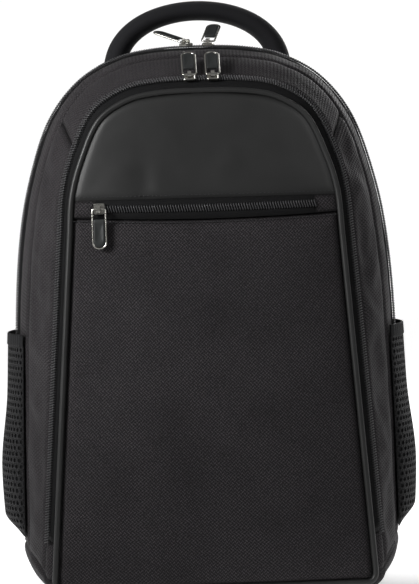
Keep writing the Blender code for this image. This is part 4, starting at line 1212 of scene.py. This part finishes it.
def rounded_loop(left, right, low, high, low_radius, high_radius, steps=10):
    """Points round a rectangle with rounded corners."""
    corners = (
        (right - low_radius, low + low_radius, low_radius, -90),
        (right - high_radius, high - high_radius, high_radius, 0),
        (left + high_radius, high - high_radius, high_radius, 90),
        (left + low_radius, low + low_radius, low_radius, 180),
    )
    points = []
    for x, y, radius, start in corners:
        for angle in np.radians(np.linspace(start, start + 90, steps)):
            points.append((x + radius * math.cos(angle), y + radius * math.sin(angle), 0.0))
    return points


def loose_points(node):
    """World points of a CAD node's mesh."""
    thing = bpy.data.objects[node]
    return np.array([tuple(thing.matrix_world @ vert.co) for vert in thing.data.vertices])


def pull_frame(label):
    """Hinge place and the directions across, along and out of a pull, from the points of its frame and
    insert nodes.
    """
    loop = loose_points("pull_frame_" + label)
    centre = loop.mean(axis=0)
    spans = np.linalg.svd(loop - centre, full_matrices=False)[2]
    along, across, out = spans
    insert = loose_points("pull_insert_" + label).mean(axis=0)
    if np.dot(insert - centre, along) < 0:
        along = -along
    outside = loop @ along
    base = centre - along * (centre @ along - outside.min() - WIRE_RADIUS)
    if np.dot(out, centre - np.array([0.0, 0.0, BODY_HEIGHT / 2])) < 0:
        out = -out
    across = np.cross(along, out)
    return base, across, along, out


def make_pull(label):
    """Wire pull with its rubber insert, finer than the plain one and in the same place."""
    base, across, along, out = pull_frame(label)
    turn = np.stack([across, along, out])
    half = PULL_WIDTH / 2 - WIRE_RADIUS
    end = PULL_LENGTH - WIRE_RADIUS
    loop = np.array(rounded_loop(-half, half, 0.0, end, PULL_NEAR_RADIUS, PULL_FAR_RADIUS))
    loop = evenly(np.concatenate([loop, loop[:1]]), WIRE_POINTS + 1)[:-1]
    wire = tube_mesh(loop @ turn + base, WIRE_RADIUS, closed=True, level=out)
    add_piece("wire_" + label, wire, "metal", "pull_frame_" + label, "pull_" + label)
    inside = WIRE_RADIUS + INSERT_GAP
    plate = np.array(rounded_loop(-half + inside, half - inside, INSERT_START, end - inside,
                                  PULL_NEAR_RADIUS / 2, PULL_FAR_RADIUS - inside))
    middle = np.array([0.0, mix(INSERT_START, end - inside, 0.5), 0.0])
    rings = [(shrink, height * INSERT_THICKNESS / 2) for shrink, height in INSERT_SECTION]
    rings += [(shrink, -height) for shrink, height in rings[::-1]]
    layers = [(plate - middle) * shrink + middle + [0.0, 0.0, height] for shrink, height in rings]
    insert = grid_mesh(np.stack(layers, axis=1) @ turn + base, True)
    add_piece("rubber_" + label, insert, "rubber", "pull_insert_" + label, "pull_" + label)


def add_band(name, centres, widths, thickness, material, node):
    """Rounded padded band: closed sections along a route, all wide along X."""
    across = np.array([1.0, 0.0, 0.0])
    out = unit(np.cross(across, directions(centres)))
    rings = []
    for angle in np.linspace(0.0, 2 * math.pi, BAND_SIDES + 1):
        cosine, sine = math.cos(angle), math.sin(angle)
        wide = math.copysign(abs(cosine) ** BAND_WIDE_POWER, cosine)
        thick = math.copysign(abs(sine) ** BAND_THICK_POWER, sine)
        rings.append(centres + across * (wide * widths[:, None] / 2) + out * (thick * thickness / 2))
    return add_piece(name, grid_mesh(np.stack(rings, axis=1), caps=True), material, node)


def back_face(height):
    """World Y of the back panel's outer face at heights."""
    return depth_at(0.0, height) + BACK_PADDING


def make_back():
    """Padded back panel, yoke, shoulder straps, webbing and tabs."""
    top_rows, corner, columns = BACK_POINTS
    rim = skin_at(joined((BACK_START, 1.0, top_rows), (1.0, 2.0, corner)), 0.0)
    row, side = grid(np.arange(len(rim)), np.linspace(-1.0, 1.0, columns))
    half_width, height = rim[row, 0], rim[row, 2]
    reach = np.abs(side * half_width)
    crest = BODY_HEIGHT * SECTIONS[0].height
    edge = np.minimum((1 - np.abs(side)) * half_width, np.minimum(height, crest - height))
    edge = np.maximum(np.minimum(edge, np.interp(reach, rim[:, 0], rim[:, 2]) - height), 0.0)
    rise = BACK_PADDING * (1 - np.exp(-(edge / (BACK_ROUNDING * BACK_RISE))))
    upright = np.exp(-((reach - CHANNEL_SPREAD) / CHANNEL_SIZE) ** 2)
    cross = np.exp(-((height - CROSS_CHANNEL_HEIGHT) / CHANNEL_SIZE) ** 2) * (reach > CHANNEL_SPREAD)
    channels = CHANNEL_DEPTH * (upright + CROSS_CHANNEL_DEPTH * cross) * free(edge, FACE_FOLD_START)
    points = np.stack([side * half_width, depth_at(0.0, height) + rise - channels, height], axis=2)
    add_piece("back_pad", grid_mesh(points), "padding", "back_panel")

    top = crest - YOKE_DROP
    heights = np.linspace(top, top - YOKE_HEIGHT, YOKE_POINTS)
    widths = YOKE_WIDTH * read_many(YOKE_ROWS, "width", (top - heights) / YOKE_HEIGHT)
    centres = np.stack([heights * 0, back_face(heights) + SEAM_GAP + YOKE_THICKNESS / 2, heights], axis=1)
    puff(add_band("yoke_pad", centres, widths, YOKE_THICKNESS, "padding", "strap_yoke"), YOKE_FILL)
    for side, label in SIDES:
        make_strap(side, label, top - YOKE_HEIGHT)


def strap_line(side, drops, top):
    """Middle line of a shoulder strap at shares of its length from the top."""
    heights = top - SEAM_GAP - drops * STRAP_LENGTH
    bow = read_many(STRAP_ROWS, "bow", drops)
    spread_out = read_many(STRAP_ROWS, "spread", drops)
    depth = back_face(heights) + SEAM_GAP + STRAP_THICKNESS / 2 + bow * STRAP_BOW
    return np.stack([side * mix(STRAP_TOP_SPREAD, STRAP_END_SPREAD, spread_out), depth, heights], axis=1)


def make_strap(side, label, top):
    """Padded strap with stitched edges, its webbing and lower tab."""
    drops = np.linspace(0.0, 1.0, STRAP_POINTS)
    widths = STRAP_WIDTH * read_many(STRAP_ROWS, "width", drops)
    centres = strap_line(side, drops, top)
    pad = add_band("strap_pad_" + label, centres, widths, STRAP_THICKNESS * STRAP_START, "padding",
                   "shoulder_strap_" + label)
    puff(pad, STRAP_FILL)
    bpy.context.view_layer.update()
    across = np.array([1.0, 0.0, 0.0])
    out = unit(np.cross(across, directions(centres)))
    for part, place in ((-1, "near"), (1, "far")):
        line = centres + across * (part * side * (widths / 2 - STITCH_INSET * STRAP_STITCH_INSET))[:, None]
        line = (line + out * STRAP_THICKNESS)[2:-2]
        seated = np.array([tuple(pad.closest_point_on_mesh(Vector(point))[1]) for point in line])
        add_stitches(f"stitch_strap_{label}_{place}", seated, out[2:-2])

    lowest = strap_line(side, np.array([STRAP_ROWS[-2].drop, 1.0]), top)
    down = lowest[1] - lowest[0]
    down[0] = 0.0
    start = lowest[1] + unit(down) * (SEAM_GAP * 3 + ADJUSTER_HEIGHT)
    foot_height = ANCHOR_TAB_RISE + ANCHOR_TAB_HEIGHT
    spread_out = side * ANCHOR_TAB_SPREAD
    seat = back_face(foot_height) + SEAM_GAP + WEBBING_THICKNESS
    foot = np.array([spread_out, seat, foot_height + SEAM_GAP])
    route = mix(start, foot, np.linspace(0.0, 1.0, WEBBING_POINTS)[:, None])
    add_band("webbing_" + label, route, np.full(WEBBING_POINTS, WEBBING_WIDTH), WEBBING_THICKNESS, "webbing",
             "strap_webbing_" + label)
    heights = np.linspace(foot_height, ANCHOR_TAB_RISE, STRAP_TAB_POINTS)
    depth = back_face(heights) + SEAM_GAP + WEBBING_THICKNESS
    route = np.stack([np.full(STRAP_TAB_POINTS, spread_out), depth, heights], axis=1)
    widths = ANCHOR_TAB_WIDTH * np.interp(heights, heights[[-1, STRAP_TAB_POINTS // 2, 0]], TAB_WIDTHS)
    add_band("tab_" + label, route, widths, WEBBING_THICKNESS * 2, "fabric", "strap_anchor_" + label)
    reach = np.linspace(-TAB_STITCH_REACH, TAB_STITCH_REACH, STITCH_POINTS) * ANCHOR_TAB_WIDTH
    for share in TAB_STITCH_PLACES:
        height = mix(foot_height, ANCHOR_TAB_RISE, share)
        depth = back_face(height) + SEAM_GAP + WEBBING_THICKNESS * 2
        line = np.stack([spread_out + reach, reach * 0 + depth, reach * 0 + height], axis=1)
        name = f"stitch_tab_{label}_{int(share * 100)}"
        add_stitches(name, line, np.tile([0.0, 1.0, 0.0], (STITCH_POINTS, 1)))


def fading(tree, coordinate, edges, values):
    """Smooth change between two values between two places along the Y of a coordinate."""
    place = add(tree, "ShaderNodeTexCoord").outputs[coordinate]
    along = add(tree, "ShaderNodeSeparateXYZ", {0: place}).outputs[1]
    inputs = dict(enumerate([along, *edges, *values]))
    return add(tree, "ShaderNodeMapRange", inputs, interpolation_type="SMOOTHSTEP").outputs[0]


def make_stage():
    """Pale floor, soft lights and the white backdrop."""
    bpy.ops.mesh.primitive_plane_add(size=FLOOR_SIZE, location=(0.0, FLOOR_DEPTH, -FLOOR_DROP))
    floor = bpy.context.object
    floor.name = "floor"
    material, tree, shader = new_material("pale_floor", FLOOR_ROUGHNESS)
    shader.inputs["Base Color"].default_value = (*PALE, 1.0)
    shader.inputs["Emission Color"].default_value = WHITE
    edges = [place - FLOOR_DEPTH for place in FLOOR_FADE]
    put(tree, fading(tree, "Object", edges, (FLOOR_DIM, FLOOR_GLOW)), shader.inputs["Emission Strength"])
    floor.data.materials.append(material)
    bpy.context.scene.view_settings.view_transform = "Standard"
    world = bpy.data.worlds.new("studio")
    bpy.context.scene.world = world
    world.use_nodes = True
    tree = world.node_tree
    backdrop = tree.nodes["Background"].inputs
    put(tree, fading(tree, "Generated", BACKDROP_EDGE, (ROOM_LIGHT, BACKDROP_LIGHT)), backdrop["Strength"])
    backdrop["Color"].default_value = WHITE
    for lamp in LAMPS:
        light = bpy.data.lights.new(lamp.name, "AREA")
        light.size = lamp.size
        light.energy = lamp.power
        light.spread = math.radians(lamp.spread)
        thing = link_new(lamp.name, light)
        thing.location = lamp.place
        aim = Vector((0.0, 0.0, lamp.aim_height)) - Vector(lamp.place)
        thing.rotation_euler = aim.to_track_quat("-Z", "Y").to_euler()


def make_camera():
    """Camera at the photographer's place."""
    lens = bpy.data.cameras.new("camera")
    lens.lens = CAMERA_LENS
    lens.sensor_width = CAMERA_SENSOR
    camera = link_new("camera", lens)
    azimuth, elevation = math.radians(CAMERA_AZIMUTH), math.radians(CAMERA_ELEVATION)
    back = Vector((math.sin(azimuth) * math.cos(elevation), -math.cos(azimuth) * math.cos(elevation),
                   math.sin(elevation)))
    camera.location = CAMERA_TARGET + back * CAMERA_DISTANCE
    turn = (-back).to_track_quat("-Z", "Y").to_matrix().to_4x4()
    roll = Matrix.Rotation(math.radians(CAMERA_ROLL), 4, "Z")
    camera.rotation_euler = (turn @ roll).to_euler()
    bpy.context.scene.camera = camera


def dress_cad_nodes():
    """Finish the CAD nodes that stay in sight, and make the finer pulls."""
    labels = ("main_left", "main_right", "front_left", "front_right", "pocket")
    finishes = {"divider_panel": "fabric"}
    finishes.update({"strap_adjuster_" + label: "plastic" for side, label in SIDES})
    finishes.update({"slider_" + label: "metal" for label in labels})
    for node, finish in finishes.items():
        for slot in bpy.data.objects[node].material_slots:
            slot.link = "OBJECT"
            slot.material = MATERIALS[finish]
    for label in labels:
        make_pull(label)


make_camera()
make_stage()
make_body()
make_front()
for pocket_side, pocket_label in SIDES:
    make_pocket(pocket_side, pocket_label)
make_handle()
make_back()
dress_cad_nodes()
